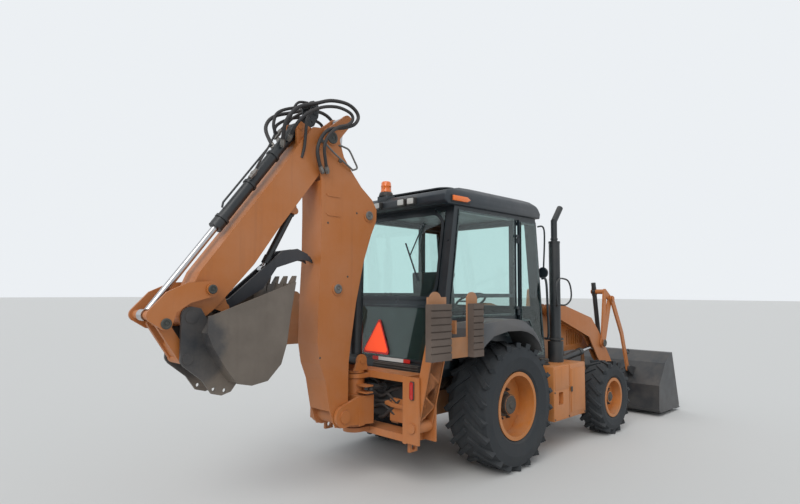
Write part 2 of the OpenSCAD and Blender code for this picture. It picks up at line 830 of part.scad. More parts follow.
module swing_tower() {
    color("darkorange") placed() {
        translate([swing_x, 0, 491]) cylinder(r = 95, h = 458);
        translate([swing_x, 0, 430]) cylinder(r = 44.5, h = 580);
        // Lugs of the swing cylinders
        for (z = [822, 884])
            block([swing_x - 50, -225, z], [swing_x + 40, 225, z + 14]);
        // Ears that carry the boom
        block([swing_x - 105, -198, 530], [swing_x - 40, 198, 800]);
        both_sides() slab(boom_half_w + side_gap, boom_half_w + side_gap + 40) {
            translate(boom_foot) circle(r = 100);
            polygon([[-1640, 562], [-1225, 530], [-1225, 800], [-1400, 800], [-1600, 737]]);
        }
        pin(boom_foot, 38, -boom_half_w - side_gap - 50, boom_half_w + side_gap + 50);
        both_sides() pin(boom_foot, 58, boom_half_w + side_gap + 39, boom_half_w + side_gap + 55);
        // Upper lugs of the boom's cylinder
        for (y = [-96, 72])
            slab(y, y + 24) {
                translate(boom_cyl_base) circle(r = 60);
                polygon([[-1348, 1110], [-1232, 1110], [-1215, 1026], [-1385, 1026]]);
            }
        pin(boom_cyl_base, 30, -106, 106);
        // Round seat of the lugs, with a channel for the lowered cylinder
        difference() {
            translate([swing_x, 0, 1000.5]) cylinder(r = 94, h = 36);
            block([swing_x - 100, -71, 1018], [swing_x + 100, 71, 1040]);
        }
    }
}

// Boom: side plates open towards the cab, with a narrow rear plate

// Stations up the boom: [height, rear edge, front edge]
boom_stations = [[545, -1650, -1530], [700, -1718, -1508], [980, -1775, -1508], [1130, -1836, -1505],
    [1320, -1870, -1480], [1680, -1864, -1422], [2070, -1846, -1332], [2340, -1846, -1236],
    [2490, -1846, -1168], [2600, -1848, -1166], [2690, -1850, -1226], [2800, -1853, -1370],
    [2950, -1866, -1506], [3060, -1880, -1592], [3200, -1846, -1640], [3290, -1800, -1680]];

boom_outline = concat([for (s = boom_stations) [s[1], s[0]]],
    [for (i = [len(boom_stations) - 1:-1:0]) [boom_stations[i][2], boom_stations[i][0]]]);

rear_plate_outline = concat([for (i = [1:11]) [boom_stations[i][1], boom_stations[i][0]]],
    [for (i = [11:-1:1]) [boom_stations[i][1] + 14, boom_stations[i][0]]]);

module boom() {
    color("darkorange") placed() {
        difference() {
            union() {
                both_sides() {
                    slab(boom_half_w - boom_plate, boom_half_w) {
                        polygon(boom_outline);
                        translate(boom_foot) circle(r = 108);
                        translate(boom_top) circle(r = 100);
                    }
                    for (p = [boom_cyl_eye, dipper_cyl_base])
                        pin(p, 62, 80, boom_half_w + 8);
                    pin(boom_top, 70, boom_half_w - 4, boom_half_w + 10);
                }
                slab(-boom_half_w + boom_plate - 1, boom_half_w - boom_plate + 1) polygon(rear_plate_outline);
                pin(boom_foot, 75, -boom_half_w, boom_half_w);
                pin(dipper_cyl_base, 28, -boom_half_w, boom_half_w);
                pin(boom_top, 32, -boom_half_w - 10, boom_half_w + 10);
            }
            pin(boom_foot, 38 + pin_gap, -200, 200);
        }
    }
}

module boom_barrel() {
    color("black") placed() along(boom_cyl_base, boom_cyl_eye)
        barrel(1180, 62, 32, 52, 132, 30 + pin_gap);
}

module boom_rod() {
    reach = norm(boom_cyl_eye - boom_cyl_base);
    color("silver") placed() along(boom_cyl_base, boom_cyl_eye) rod(reach, 1230, 32, 48, 146);
}

module dipper_barrel() {
    color("black") placed() along(dipper_cyl_base, dipper_horn)
        barrel(880, 56, 32, 50, 148, 28 + pin_gap);
}

module dipper_rod() {
    reach = norm(dipper_horn - dipper_cyl_base);
    color("silver") placed() along(dipper_cyl_base, dipper_horn) rod(reach, 1000, 32, 45, 146);
}

// Dipper: drawn along +X from its top pin, +Y towards its outer side
module on_dipper() {
    placed() translate([boom_top[0], 0, boom_top[1]]) rotate([0, -dipper_angle, 0])
        mirror([0, 0, 1]) rotate([90, 0, 0]) children();
}

// A slab or pin in the dipper's own side view
module dipper_slab(y0, y1) {
    translate([0, 0, y0]) linear_extrude(y1 - y0) children();
}

module dipper_pin(p, r, y0, y1) {
    translate([p[0], p[1], y0]) cylinder(r = r, h = y1 - y0);
}

dipper_outline = [[-60, 70], [60, 190], [330, 190], [640, 172], [dipper_len - 310, 158],
    [dipper_len - 120, 108], [dipper_len, 80], [dipper_len, -80], [dipper_len - 180, -124],
    [dipper_len - 660, -160], [dipper_len - 1020, -142], [520, -138], [300, -136], [60, -70]];

// A point on the dipper, in side view
function to_side(p) = boom_top + [p[0] * cos(dipper_angle) + p[1] * sin(dipper_angle),
    p[0] * sin(dipper_angle) - p[1] * cos(dipper_angle)];

// The dipper's horn, in its own side view
horn = [(dipper_horn - boom_top) * [cos(dipper_angle), sin(dipper_angle)],
    (dipper_horn - boom_top) * [sin(dipper_angle), -cos(dipper_angle)]];

module dipper() {
    color("darkorange") on_dipper() difference() {
        union() {
            // Side plates
            for (y = [-dipper_half_w, dipper_half_w - 14]) dipper_slab(y, y + 14) {
                polygon(dipper_outline);
                circle(r = 92);
                translate([dipper_len, 0]) circle(r = 80);
            }
            // Upper and under plates
            dipper_slab(-dipper_half_w + 13, dipper_half_w - 13) {
                polygon([[80, 190], [330, 190], [640, 172], [dipper_len - 310, 158],
                    [dipper_len - 120, 108], [dipper_len - 120, 94], [dipper_len - 310, 144],
                    [640, 158], [330, 176], [80, 176]]);
                polygon([[300, -136], [520, -138], [dipper_len - 1020, -142],
                    [dipper_len - 660, -160], [dipper_len - 180, -124], [dipper_len - 180, -110],
                    [dipper_len - 660, -146], [dipper_len - 1020, -128], [520, -124], [300, -122]]);
            }
            dipper_pin([0, 0], 72, -dipper_half_w, dipper_half_w);
            dipper_pin([dipper_len, 0], 70, -dipper_half_w, dipper_half_w);
            dipper_pin(guide_pin, 46, -dipper_half_w - 28, dipper_half_w + 28);
            dipper_pin(guide_pin, 30, -190, 190);
            for (y = [-194, 180]) dipper_pin(guide_pin, 44, y, y + 14);
            // Horn plates
            for (y = [-dipper_half_w, dipper_half_w - 30]) dipper_slab(y, y + 30) bar([0, 0], horn, 85, 55);
            // Ears of the tool's cylinder
            for (y = [-84, 60]) dipper_slab(y, y + 24) {
                translate(tool_cyl_base) circle(r = 52);
                polygon([[60, 180], [330, 180], [300, 195], [200, 282], [100, 282]]);
            }
            dipper_pin(tool_cyl_base, 25, -90, 90);
            // Bracket of the thumb
            for (y = [-100, 74]) dipper_slab(y, y + 26) {
                translate(thumb_pin) circle(r = 40);
                translate([thumb_pin[0], 0]) polygon([[-80, -120], [60, -118], [38, -185], [-38, -185]]);
            }
            dipper_pin(thumb_pin, 20, -100, 100);
            // Bracket of the thumb's cylinder
            for (y = [-58, 36]) dipper_slab(y, y + 22) {
                translate(thumb_cyl_base) circle(r = 32);
                translate([thumb_cyl_base[0], 0])
                    polygon([[-70, -130], [70, -130], [30, -185], [-30, -185]]);
            }
            dipper_pin(thumb_cyl_base, 16, -58, 58);
        }
        dipper_pin([0, 0], 32 + pin_gap, -200, 200);
        dipper_pin([dipper_len, 0], 32 + pin_gap, -200, 200);
    }
}

module tool_barrel() {
    color("black") placed() along(to_side(tool_cyl_base), to_side(guide_rod_pin))
        barrel(1230, 50, 28, 48, 108, 25 + pin_gap);
}

module tool_rod() {
    reach = norm(guide_rod_pin - tool_cyl_base);
    color("silver") placed() along(to_side(tool_cyl_base), to_side(guide_rod_pin))
        rod(reach, 1050, 28, 44, 90);
}

module guide_links() {
    color("darkorange") on_dipper() difference() {
        union() {
            for (y = [-174, 152]) dipper_slab(y, y + 22) {
                translate(guide_pin) circle(r = 62);
                translate(guide_rod_pin) circle(r = 52);
                translate(guide_link_pin) circle(r = 48);
                translate([dipper_len, 0])
                    polygon([[-290, 66], [-180, 190], [-20, 272], [160, 288], [219, 236], [206, 128],
                        [145, 82], [50, 120], [-70, 80], [-200, -16]]);
            }
            dipper_pin(guide_link_pin, 25, -153, 153);
            for (y = [-153, 52]) dipper_pin(guide_rod_pin, 34, y, y + 101);
        }
        dipper_pin(guide_pin, 30 + pin_gap, -200, 200);
    }
}

module tool_link() {
    middle = guide_link_pin * 0.4 + tool_link_pin * 0.6;
    near = guide_link_pin * 0.15 + tool_link_pin * 0.85;
    color("darkorange") on_dipper() difference() {
        union() {
            for (y = [-95, 60]) dipper_slab(y, y + 35) bar(guide_link_pin, tool_link_pin, 44, 46);
            dipper_slab(-61, 61) bar(middle, near, 30, 34);
            dipper_pin(tool_link_pin, 46, -112, 112);
        }
        dipper_pin(guide_link_pin, 25 + pin_gap, -200, 200);
    }
}

// Digging bucket

// Points from the dipper's tip pin
dig_bucket_line = [[135, -32], [82, -122], [110, -222], [210, -382], [310, -507],
    [430, -534], [570, -512], [690, -392], [740, -232], [770, -12], [818, 258]];

module dig_bucket() {
    half = dig_bucket_w / 2;
    tip = to_side([dipper_len, 0]);
    link = to_side(tool_link_pin) - tip;
    color("dimgray") placed() translate([tip[0], 0, tip[1]]) {
        slab(-half + dig_plate - 1, half - dig_plate + 1) polygon(skin(dig_bucket_line, dig_plate));
        both_sides() slab(half - dig_plate, half)
            polygon([[60, 8], [55, -112], [105, -227], [208, -387], [308, -513],
                [430, -539], [572, -517], [695, -395], [746, -232], [776, -12], [826, 272],
                [740, 243], [90, 13]]);
        for (y = [-260, -130, 0, 130, 260])
            slab(y - 30, y + 30)
                polygon([[784, 188], [810, 184], [828, 268], [840, 323], [832, 325],
                    [796, 268]]);
        // Ears, with the heel lugs that run on below
        both_sides() difference() {
            slab(122, 146) {
                circle(r = 76);
                translate(link) circle(r = 56);
                polygon([[-74, -2], [-73, -312], [-50, -364], [100, -482], [180, -592],
                    [260, -614], [340, -592], [390, -528], [310, -502], [214, -378],
                    [116, -218], [90, -124], [137, -36], [75, 63], [5, 76]]);
            }
            pin([195, -557], 16, 100, 160);
            pin([285, -577], 16, 100, 160);
        }
        pin([0, 0], 32, -147, 147);
        both_sides() pin([0, 0], 48, 145, 151);
        both_sides() pin(link, 40, 145, 151);
    }
}

// Thumb

// Thumb's hinge, and the pin of its cylinder's rod
thumb_root = to_side(thumb_pin);
thumb_rod_pin = thumb_root + [387, 319];

module thumb() {
    color("darkorange") placed() translate([thumb_root[0], 0, thumb_root[1]]) difference() {
        union() {
            for (y = [-64, 40]) slab(y, y + 24)
                polygon([[-8, -44], [147, 39], [367, 159], [497, 339], [747, 419], [809, 411],
                    [819, 471], [707, 514], [557, 489], [287, 264], [57, 75], [-14, 44]]);
            slab(-41, 41) {
                polygon([[507, 347], [747, 425], [757, 443], [502, 363]]);
                polygon([[107, 23], [247, 101], [237, 119], [97, 41]]);
            }
            pin([0, 0], 46, -68, 68);
        }
        pin([0, 0], 20 + pin_gap, -80, 80);
    }
}

module thumb_barrel() {
    color("black") placed() along(to_side(thumb_cyl_base), thumb_rod_pin)
        barrel(545, 30, 17, 32, 60, 16 + pin_gap);
}

module thumb_rod() {
    reach = norm(thumb_rod_pin - to_side(thumb_cyl_base));
    color("silver") placed() along(to_side(thumb_cyl_base), thumb_rod_pin) rod(reach, 505, 17, 30, 60);
}

// Stabilizers, drawn on the left side and mirrored

foot_pin = [leg_pivot[1] + leg_len * cos(leg_angle), leg_pivot[2] + leg_len * sin(leg_angle)];

module leg() {
    half = leg_w / 2;
    placed() translate(leg_pivot) rotate([leg_angle - 90, 0, 0]) difference() {
        union() {
            rotate([0, 90, 0]) cylinder(r = 56, h = leg_w, center = true);
            translate([0, 0, leg_len]) rotate([0, 90, 0]) cylinder(r = 50, h = leg_w, center = true);
            // Flanges
            for (x = [-half, half - 14])
                block([x, -50, 0], [x + 14, 50, leg_len]);
            // Web with zigzag ribs on its outer face
            block([-half + 1, -50, 0], [half - 1, -36, leg_len]);
            for (i = [0:5])
                translate([0, 0, 90 + i * (leg_len - 150) / 6])
                    rotate([0, i % 2 == 0 ? 46 : -46, 0])
                        translate([-6, -37, -8]) cube([12, 60, 20]);
        }
        rotate([0, 90, 0]) cylinder(r = 30 + pin_gap, h = 400, center = true);
        translate([0, 0, leg_len]) rotate([0, 90, 0]) cylinder(r = 22 + pin_gap, h = 400, center = true);
    }
}

module foot() {
    half = leg_w / 2;
    placed() translate([leg_pivot[0], foot_pin[0], foot_pin[1]]) {
        difference() {
            block([-280, 90, -foot_len / 2], [380, 106, foot_len / 2]);
            block([-40, 80, -90], [255, 120, foot_len / 2 + 10]);
        }
        for (x = [-half - 25, half + 7])
            block([x, -48, -60], [x + 18, 92, 60]);
        translate([-half - 30, 0, 0]) rotate([0, 90, 0]) cylinder(r = 22, h = leg_w + 60);
        // Rounded tops over the pads
        for (x = [-180, 330])
            translate([x, 90, foot_len / 2 - 30]) rotate([-90, 0, 0]) cylinder(r = 75, h = 16);
    }
}

module pads() {
    placed() translate([leg_pivot[0], foot_pin[0], foot_pin[1]])
        for (x = [[-310, -50], [262, 410]])
            difference() {
                block([x[0], 106.3, -foot_len / 2], [x[1], 178, foot_len / 2 - 60]);
                for (i = [1:7])
                    block([x[0] - 1, 168, -foot_len / 2 + i * 60],
                        [x[1] + 1, 180, -foot_len / 2 + i * 60 + 12]);
            }
}

module leg_left() {
    color("darkorange") leg();
}

module leg_right() {
    color("darkorange") mirror([0, 1, 0]) leg();
}

module foot_left() {
    color("darkorange") foot();
}

module foot_right() {
    color("darkorange") mirror([0, 1, 0]) foot();
}

module pads_left() {
    color("dimgray") pads();
}

module pads_right() {
    color("dimgray") mirror([0, 1, 0]) pads();
}

// Which parts to draw
main_frame();
engine();
axles();
cab_frame();
cab_roof();
cab_glass();
controls();
seat();
fenders();
side_tanks();
exhaust();
rear_frame();
hydraulics();
lamps();
hood();
grille();
door_left();
door_glass_left();
door_right();
door_glass_right();
knuckle_left();
knuckle_right();
tyre_rear_left();
rim_rear_left();
tyre_rear_right();
rim_rear_right();
tyre_front_left();
rim_front_left();
tyre_front_right();
rim_front_right();
loader_arms();
bell_cranks();
tilt_links();
tilt_barrels();
tilt_rods();
lift_barrels();
lift_rods();
loader_bucket();
swing_tower();
boom();
boom_barrel();
boom_rod();
dipper();
dipper_barrel();
dipper_rod();
tool_barrel();
tool_rod();
guide_links();
tool_link();
dig_bucket();
thumb();
thumb_barrel();
thumb_rod();
leg_left();
foot_left();
pads_left();
leg_right();
foot_right();
pads_right();
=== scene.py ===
import math
import bpy
from mathutils import Matrix, Vector


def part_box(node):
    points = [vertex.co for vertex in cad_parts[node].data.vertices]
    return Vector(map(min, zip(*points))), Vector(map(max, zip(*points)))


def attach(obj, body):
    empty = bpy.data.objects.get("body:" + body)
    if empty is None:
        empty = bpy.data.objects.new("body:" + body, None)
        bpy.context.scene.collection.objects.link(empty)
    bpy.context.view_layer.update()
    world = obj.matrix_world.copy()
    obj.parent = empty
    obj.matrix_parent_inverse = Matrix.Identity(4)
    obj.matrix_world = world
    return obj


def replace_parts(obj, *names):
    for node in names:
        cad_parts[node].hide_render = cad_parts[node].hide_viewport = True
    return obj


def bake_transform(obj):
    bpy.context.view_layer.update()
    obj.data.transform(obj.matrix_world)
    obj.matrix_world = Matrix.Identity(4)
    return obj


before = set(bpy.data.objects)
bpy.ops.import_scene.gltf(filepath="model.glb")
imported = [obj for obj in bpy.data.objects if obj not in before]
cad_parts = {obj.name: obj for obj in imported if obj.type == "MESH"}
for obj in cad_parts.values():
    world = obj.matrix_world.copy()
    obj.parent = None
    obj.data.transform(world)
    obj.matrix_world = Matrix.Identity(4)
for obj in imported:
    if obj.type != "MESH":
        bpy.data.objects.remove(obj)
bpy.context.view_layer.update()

# View of the machine
# The camera stands behind the right rear corner at eye height, as for the photograph, and
# looks slightly upwards at the raised digging arm.
rear_tyre_low, rear_tyre_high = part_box("tyre_rear_left")
axle_x = (rear_tyre_low.x + rear_tyre_high.x) / 2
camera_place = Vector((axle_x - 4.943, -4.244, 1.789))
floor_reach = 400.0
camera_heading, camera_rise, camera_roll = 44.876, 4.017, 0.28
focal_px, photo_width_px = 562.4, 800.0
camera_data = bpy.data.cameras.new("camera")
camera_data.sensor_width = 36.0
camera_data.lens = focal_px / photo_width_px * camera_data.sensor_width
camera_data.clip_end = floor_reach
camera = bpy.data.objects.new("camera", camera_data)
bpy.context.scene.collection.objects.link(camera)
bpy.context.scene.camera = camera
turn = Matrix.Rotation(math.radians(camera_heading - 90), 4, "Z")
turn = turn @ Matrix.Rotation(math.radians(90 + camera_rise), 4, "X")
turn = turn @ Matrix.Rotation(math.radians(camera_roll), 4, "Z")
camera.matrix_world = Matrix.Translation(camera_place) @ turn
scene = bpy.context.scene
scene.view_settings.view_transform = "Standard"

# Hoses over the boom's top
# Hydraulic hoses of braided rubber, two on each side, leave the boom in crimped fittings,
# loop over the elbow and end on the tool cylinder, long enough for the dipper's whole swing.
def node_group(name, inputs, outputs):
    """An empty shader group with its sockets, and its two end nodes."""
    group = bpy.data.node_groups.new(name, "ShaderNodeTree")
    for label, kind, value in inputs:
        socket = group.interface.new_socket(label, in_out="INPUT", socket_type=kind)
        socket.default_value = value
    for label, kind in outputs:
        group.interface.new_socket(label, in_out="OUTPUT", socket_type=kind)
    return group, group.nodes.new("NodeGroupInput"), group.nodes.new("NodeGroupOutput")


def feed(socket, value):
    """Links an input to an output, or sets it to a plain value."""
    if hasattr(value, "is_linked"):
        socket.id_data.links.new(value, socket)
    else:
        socket.default_value = value


def dial(node, **values):
    """Feeds a node's inputs by name; an underscore stands for the space in a name."""
    for label, value in values.items():
        feed(node.inputs[label.replace("_", " ")], value)


def add_math(tree, operation, first, second, clamp=False):
    """A Math node fed by sockets or plain numbers."""
    node = tree.nodes.new("ShaderNodeMath")
    node.operation = operation
    node.use_clamp = clamp
    for socket, value in zip(node.inputs, (first, second)):
        feed(socket, value)
    return node.outputs[0]


def add_range(tree, value, low, high, to_low=0.0, to_high=1.0):
    """A clamped Map Range from one span to another."""
    node = tree.nodes.new("ShaderNodeMapRange")
    dial(node, Value=value, From_Min=low, From_Max=high, To_Min=to_low, To_Max=to_high)
    return node.outputs["Result"]


def add_noise(tree, vector, scale, detail=4.0, rough=0.6):
    """A noise pattern on the given coordinates."""
    node = tree.nodes.new("ShaderNodeTexNoise")
    dial(node, Vector=vector, Scale=scale, Detail=detail, Roughness=rough)
    return node.outputs["Fac"]


def add_stretch(tree, vector, scale):
    """Coordinates stretched along the axes."""
    node = tree.nodes.new("ShaderNodeMapping")
    dial(node, Vector=vector, Scale=scale)
    return node.outputs["Vector"]


def add_bump(tree, height, strength, distance):
    """The normal of a surface raised by a height."""
    node = tree.nodes.new("ShaderNodeBump")
    dial(node, Height=height, Strength=strength, Distance=distance)
    return node.outputs["Normal"]


def add_mix(tree, mask, first, second):
    """A colour mix fed by sockets or plain colours."""
    node = tree.nodes.new("ShaderNodeMix")
    node.data_type = "RGBA"
    for label, value in (("Factor_Float", mask), ("A_Color", first), ("B_Color", second)):
        feed(next(s for s in node.inputs if s.identifier == label), value)
    return next(s for s in node.outputs if s.identifier == "Result_Color")


weather, weather_in, weather_out = node_group(
    "site_weather",
    [("Paint", "NodeSocketColor", (0.5, 0.2, 0.03, 1)), ("Dust", "NodeSocketColor", (0.35, 0.29, 0.23, 1)),
     ("Bare", "NodeSocketColor", (0.12, 0.08, 0.06, 1)), ("Dust Level", "NodeSocketFloat", 0.3),
     ("Wear Level", "NodeSocketFloat", 0.3), ("Fade", "NodeSocketFloat", 0.3),
     ("Roughness", "NodeSocketFloat", 0.4)],
    [("Color", "NodeSocketColor"), ("Roughness", "NodeSocketFloat"), ("Height", "NodeSocketFloat")])


def plus(first, second, clamp=False):
    """A sum in the weather group."""
    return add_math(weather, "ADD", first, second, clamp)


def times(first, second, clamp=False):
    """A product in the weather group."""
    return add_math(weather, "MULTIPLY", first, second, clamp)


place = weather.nodes.new("ShaderNodeTexCoord").outputs["Object"]
clouds = add_noise(weather, place, 1.7, 5.0)
grains = add_noise(weather, place, 60.0, 4.0, 0.7)
blotches = add_noise(weather, place, 7.0, 6.0, 0.65)
streaks = add_noise(weather, add_stretch(weather, place, (14.0, 14.0, 0.9)), 1.0, 5.0, 0.6)
split = weather.nodes.new("ShaderNodeSeparateXYZ")
feed(split.inputs[0], place)
near_ground = add_range(weather, split.outputs["Z"], 1.5, 0.25)
facing = weather.nodes.new("ShaderNodeNewGeometry")
face_split = weather.nodes.new("ShaderNodeSeparateXYZ")
feed(face_split.inputs[0], facing.outputs["Normal"])
upward = add_range(weather, face_split.outputs["Z"], 0.35, 0.95)
soft_edge = weather.nodes.new("ShaderNodeBevel")
soft_edge.samples = 4
dial(soft_edge, Radius=0.007)
aligned = weather.nodes.new("ShaderNodeVectorMath")
aligned.operation = "DOT_PRODUCT"
feed(aligned.inputs[0], soft_edge.outputs["Normal"])
feed(aligned.inputs[1], facing.outputs["Normal"])
edges = add_range(weather, aligned.outputs["Value"], 0.995, 0.90)
dust_base = plus(times(near_ground, 0.55), times(upward, 0.75))
dust_base = plus(dust_base, add_range(weather, streaks, 0.50, 0.72, 0.0, 0.22))
dust_base = plus(dust_base, 0.18)
dust_rough = times(dust_base, add_range(weather, blotches, 0.30, 0.65, 0.35, 1.5))
dust_mask = times(dust_rough, weather_in.outputs["Dust Level"], clamp=True)
chips = times(edges, add_range(weather, blotches, 0.42, 0.62))
spots = add_range(weather, times(grains, blotches), 0.40, 0.46)
bare_mask = plus(chips, times(spots, 0.5))
bare_mask = times(bare_mask, weather_in.outputs["Wear Level"], clamp=True)
faded = times(add_range(weather, clouds, 0.35, 0.70), weather_in.outputs["Fade"])
pale = add_mix(weather, faded, weather_in.outputs["Paint"], (0.62, 0.52, 0.44, 1))
darker = add_mix(weather, add_range(weather, streaks, 0.46, 0.30, 0.0, 0.10), pale, (0.05, 0.035, 0.03, 1))
chipped = add_mix(weather, bare_mask, darker, weather_in.outputs["Bare"])
dusty = add_mix(weather, dust_mask, chipped, weather_in.outputs["Dust"])
gloss_loss = times(dust_mask, 0.45)
gloss_mottle = add_range(weather, blotches, 0.3, 0.7, -0.06, 0.10)
finish_rough = plus(weather_in.outputs["Roughness"], gloss_mottle)
finish_rough = plus(finish_rough, gloss_loss, clamp=True)
relief = plus(times(grains, 0.35), times(blotches, 0.65))
relief = add_math(weather, "SUBTRACT", relief, times(bare_mask, 0.5))
dial(weather_out, Color=dusty, Roughness=finish_rough, Height=relief)


def new_finish(name):
    """A plain finish, with its node tree and its shader."""
    material = bpy.data.materials.new(name)
    material.use_nodes = True
    return material, material.node_tree, material.node_tree.nodes["Principled BSDF"]


def weathered(name, slot_name, paint, rough, dust, wear=0.0, fade=0.0, bump=0.15, metal=0.0, coat=0.0,
              dust_colour=(0.30, 0.25, 0.20), bare=(0.10, 0.07, 0.055)):
    """A painted or moulded finish that has stood outdoors on a work site."""
    material, tree, shader = new_finish(name)
    group = tree.nodes.new("ShaderNodeGroup")
    group.node_tree = weather
    dial(group, Paint=(*paint, 1), Dust=(*dust_colour, 1), Bare=(*bare, 1), Dust_Level=dust,
         Wear_Level=wear, Fade=fade, Roughness=rough)
    dial(shader, Base_Color=group.outputs["Color"], Roughness=group.outputs["Roughness"], Metallic=metal,
         Normal=add_bump(tree, group.outputs["Height"], bump, distance=0.004))
    if coat:
        dial(shader, Coat_Weight=coat, Coat_Roughness=0.25)
    return material


def spot(x, y, z):
    """A place measured from the ground under the middle of the rear axle."""
    return Vector((axle_x + x, y, z))


def pick(*pieces):
    """Selects these pieces alone, with the first one active."""
    bpy.ops.object.select_all(action="DESELECT")
    for piece in pieces:
        piece.select_set(True)
    bpy.context.view_layer.objects.active = pieces[0]


def edit(piece, mode="FACE"):
    """Opens a piece for editing with all of it selected."""
    pick(piece)
    bpy.ops.object.mode_set(mode="EDIT")
    bpy.ops.mesh.select_mode(type=mode)
    bpy.ops.mesh.select_all(action="SELECT")


def shut():
    """Turns all faces outwards and leaves edit mode."""
    bpy.ops.mesh.select_all(action="SELECT")
    bpy.ops.mesh.normals_make_consistent(inside=False)
    bpy.ops.object.mode_set(mode="OBJECT")


def fit(name, material, piece, body="chassis", smooth=35):
    """Freezes a piece's place into its mesh, paints it and fixes it to its body."""
    pick(piece)
    bpy.ops.object.transform_apply(location=True, rotation=True, scale=True)
    bpy.ops.object.shade_smooth_by_angle(angle=math.radians(smooth))
    piece.name = name
    piece.data.name = name
    piece.data.materials.clear()
    piece.data.materials.append(material)
    if body:
        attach(piece, body)
    return piece


def smooth_line(points, rounds=5):
    """A smooth line through the points, with some places between each two."""
    points = [Vector(p) for p in points]
    line = []
    for i in range(len(points) - 1):
        before, here = points[max(i - 1, 0)], points[i]
        there, after = points[i + 1], points[min(i + 2, len(points) - 1)]
        for step in range(rounds):
            t = step / rounds
            line.append(0.5 * (2 * here + (there - before) * t
                               + (2 * before - 5 * here + 4 * there - after) * t * t
                               + (3 * here - before - 3 * there + after) * t ** 3))
    return line + [points[-1]]


merge_distance = 1e-5


def bent_tube(line, radius):
    """A closed round tube along a line."""
    curve = bpy.data.curves.new("tube", "CURVE")
    curve.dimensions = "3D"
    run = curve.splines.new("POLY")
    run.points.add(len(line) - 1)
    for knot, place in zip(run.points, line):
        knot.co = (*place, 1)
    curve.bevel_depth = radius
    curve.bevel_resolution = 4
    curve.use_fill_caps = True
    piece = bpy.data.objects.new("tube", curve)
    scene.collection.objects.link(piece)
    pick(piece)
    bpy.ops.object.convert(target="MESH")
    edit(piece, "VERT")
    bpy.ops.mesh.remove_doubles(threshold=merge_distance)
    shut()
    return piece


def drawn(places, fill="NGON"):
    """An outline through the places, open or filled."""
    bpy.ops.mesh.primitive_circle_add(vertices=len(places), fill_type=fill)
    piece = bpy.context.object
    for vertex, place in zip(piece.data.vertices, places):
        vertex.co = place
    return piece


def turned(profile, foot, toward, steps=28):
    """A piece turned on a lathe from the (radius, height) corners of its half section."""
    piece = drawn([(radius, 0, height) for radius, height in profile], "NOTHING")
    edit(piece, "VERT")
    bpy.ops.mesh.spin(steps=steps, angle=2 * math.pi, center=(0, 0, 0), axis=(0, 0, 1))
    bpy.ops.mesh.select_all(action="SELECT")
    bpy.ops.mesh.remove_doubles(threshold=merge_distance)
    bpy.ops.mesh.dissolve_degenerate(threshold=1e-6)
    bpy.ops.mesh.delete_loose()
    shut()
    piece.matrix_world = (Matrix.Translation(foot)
                          @ Vector(toward).to_track_quat("Z", "Y").to_matrix().to_4x4())
    return piece


hose_rubber = weathered(
    "hose_rubber", "tyre_rubber", (0.012, 0.013, 0.016), 0.55, dust=0.35, fade=0.05, bump=0.5,
    dust_colour=(0.12, 0.10, 0.085))
fitting_steel = weathered(
    "fitting_steel", "rod_chrome", (0.20, 0.195, 0.185), 0.38, dust=0.45, wear=0.2, fade=0.1, metal=0.7)
loop_low_z = 3.30
loop_squeeze = 0.55
outer_loop = [(-1.850, -0.168, 2.860), (-1.905, -0.182, 2.950), (-1.935, -0.194, 3.060),
              (-1.895, -0.196, 3.178), (-1.805, -0.198, 3.271), (-1.628, -0.198, 3.347),
              (-1.506, -0.196, 3.452), (-1.457, -0.196, 3.591), (-1.497, -0.196, 3.710),
              (-1.610, -0.196, 3.778), (-1.790, -0.196, 3.748), (-1.959, -0.196, 3.627),
              (-2.121, -0.196, 3.511), (-2.215, -0.190, 3.363), (-2.256, -0.150, 3.225),
              (-2.222, -0.064, 3.055)]
inner_loop = [(-1.798, -0.167, 2.870), (-1.850, -0.205, 2.960), (-1.886, -0.232, 3.090),
              (-1.838, -0.236, 3.205), (-1.733, -0.236, 3.300), (-1.620, -0.236, 3.385),
              (-1.560, -0.236, 3.500), (-1.590, -0.236, 3.600), (-1.725, -0.236, 3.640),
              (-1.876, -0.236, 3.590), (-2.010, -0.234, 3.480), (-2.105, -0.222, 3.350),
              (-2.155, -0.165, 3.240), (-2.160, -0.064, 3.122)]
crimp = [(0, 0), (0.019, 0), (0.019, 0.016), (0.024, 0.018), (0.024, 0.048), (0.021, 0.052),
         (0.021, 0.070), (0, 0.070)]
for letter, loop, side, radius in (("a", outer_loop, 1, 0.017), ("b", inner_loop, 1, 0.015),
                                   ("c", outer_loop, -1, 0.017), ("d", inner_loop, -1, 0.015)):
    name = "boom_hose_" + letter
    line = smooth_line([spot(x, y * side, min(z, loop_low_z + (z - loop_low_z) * loop_squeeze))
                        for x, y, z in loop])
    hose = fit(name, hose_rubber, bent_tube(line, radius), None, smooth=60)
    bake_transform(hose)
    for label, body, here, toward in (("low", "boom", line[0], line[1] - line[0]),
                                      ("high", "dipper", line[-1], line[-2] - line[-1])):
        fit(name + "_fitting_" + label, fitting_steel, turned(crimp, here, toward, 6), body, smooth=30)

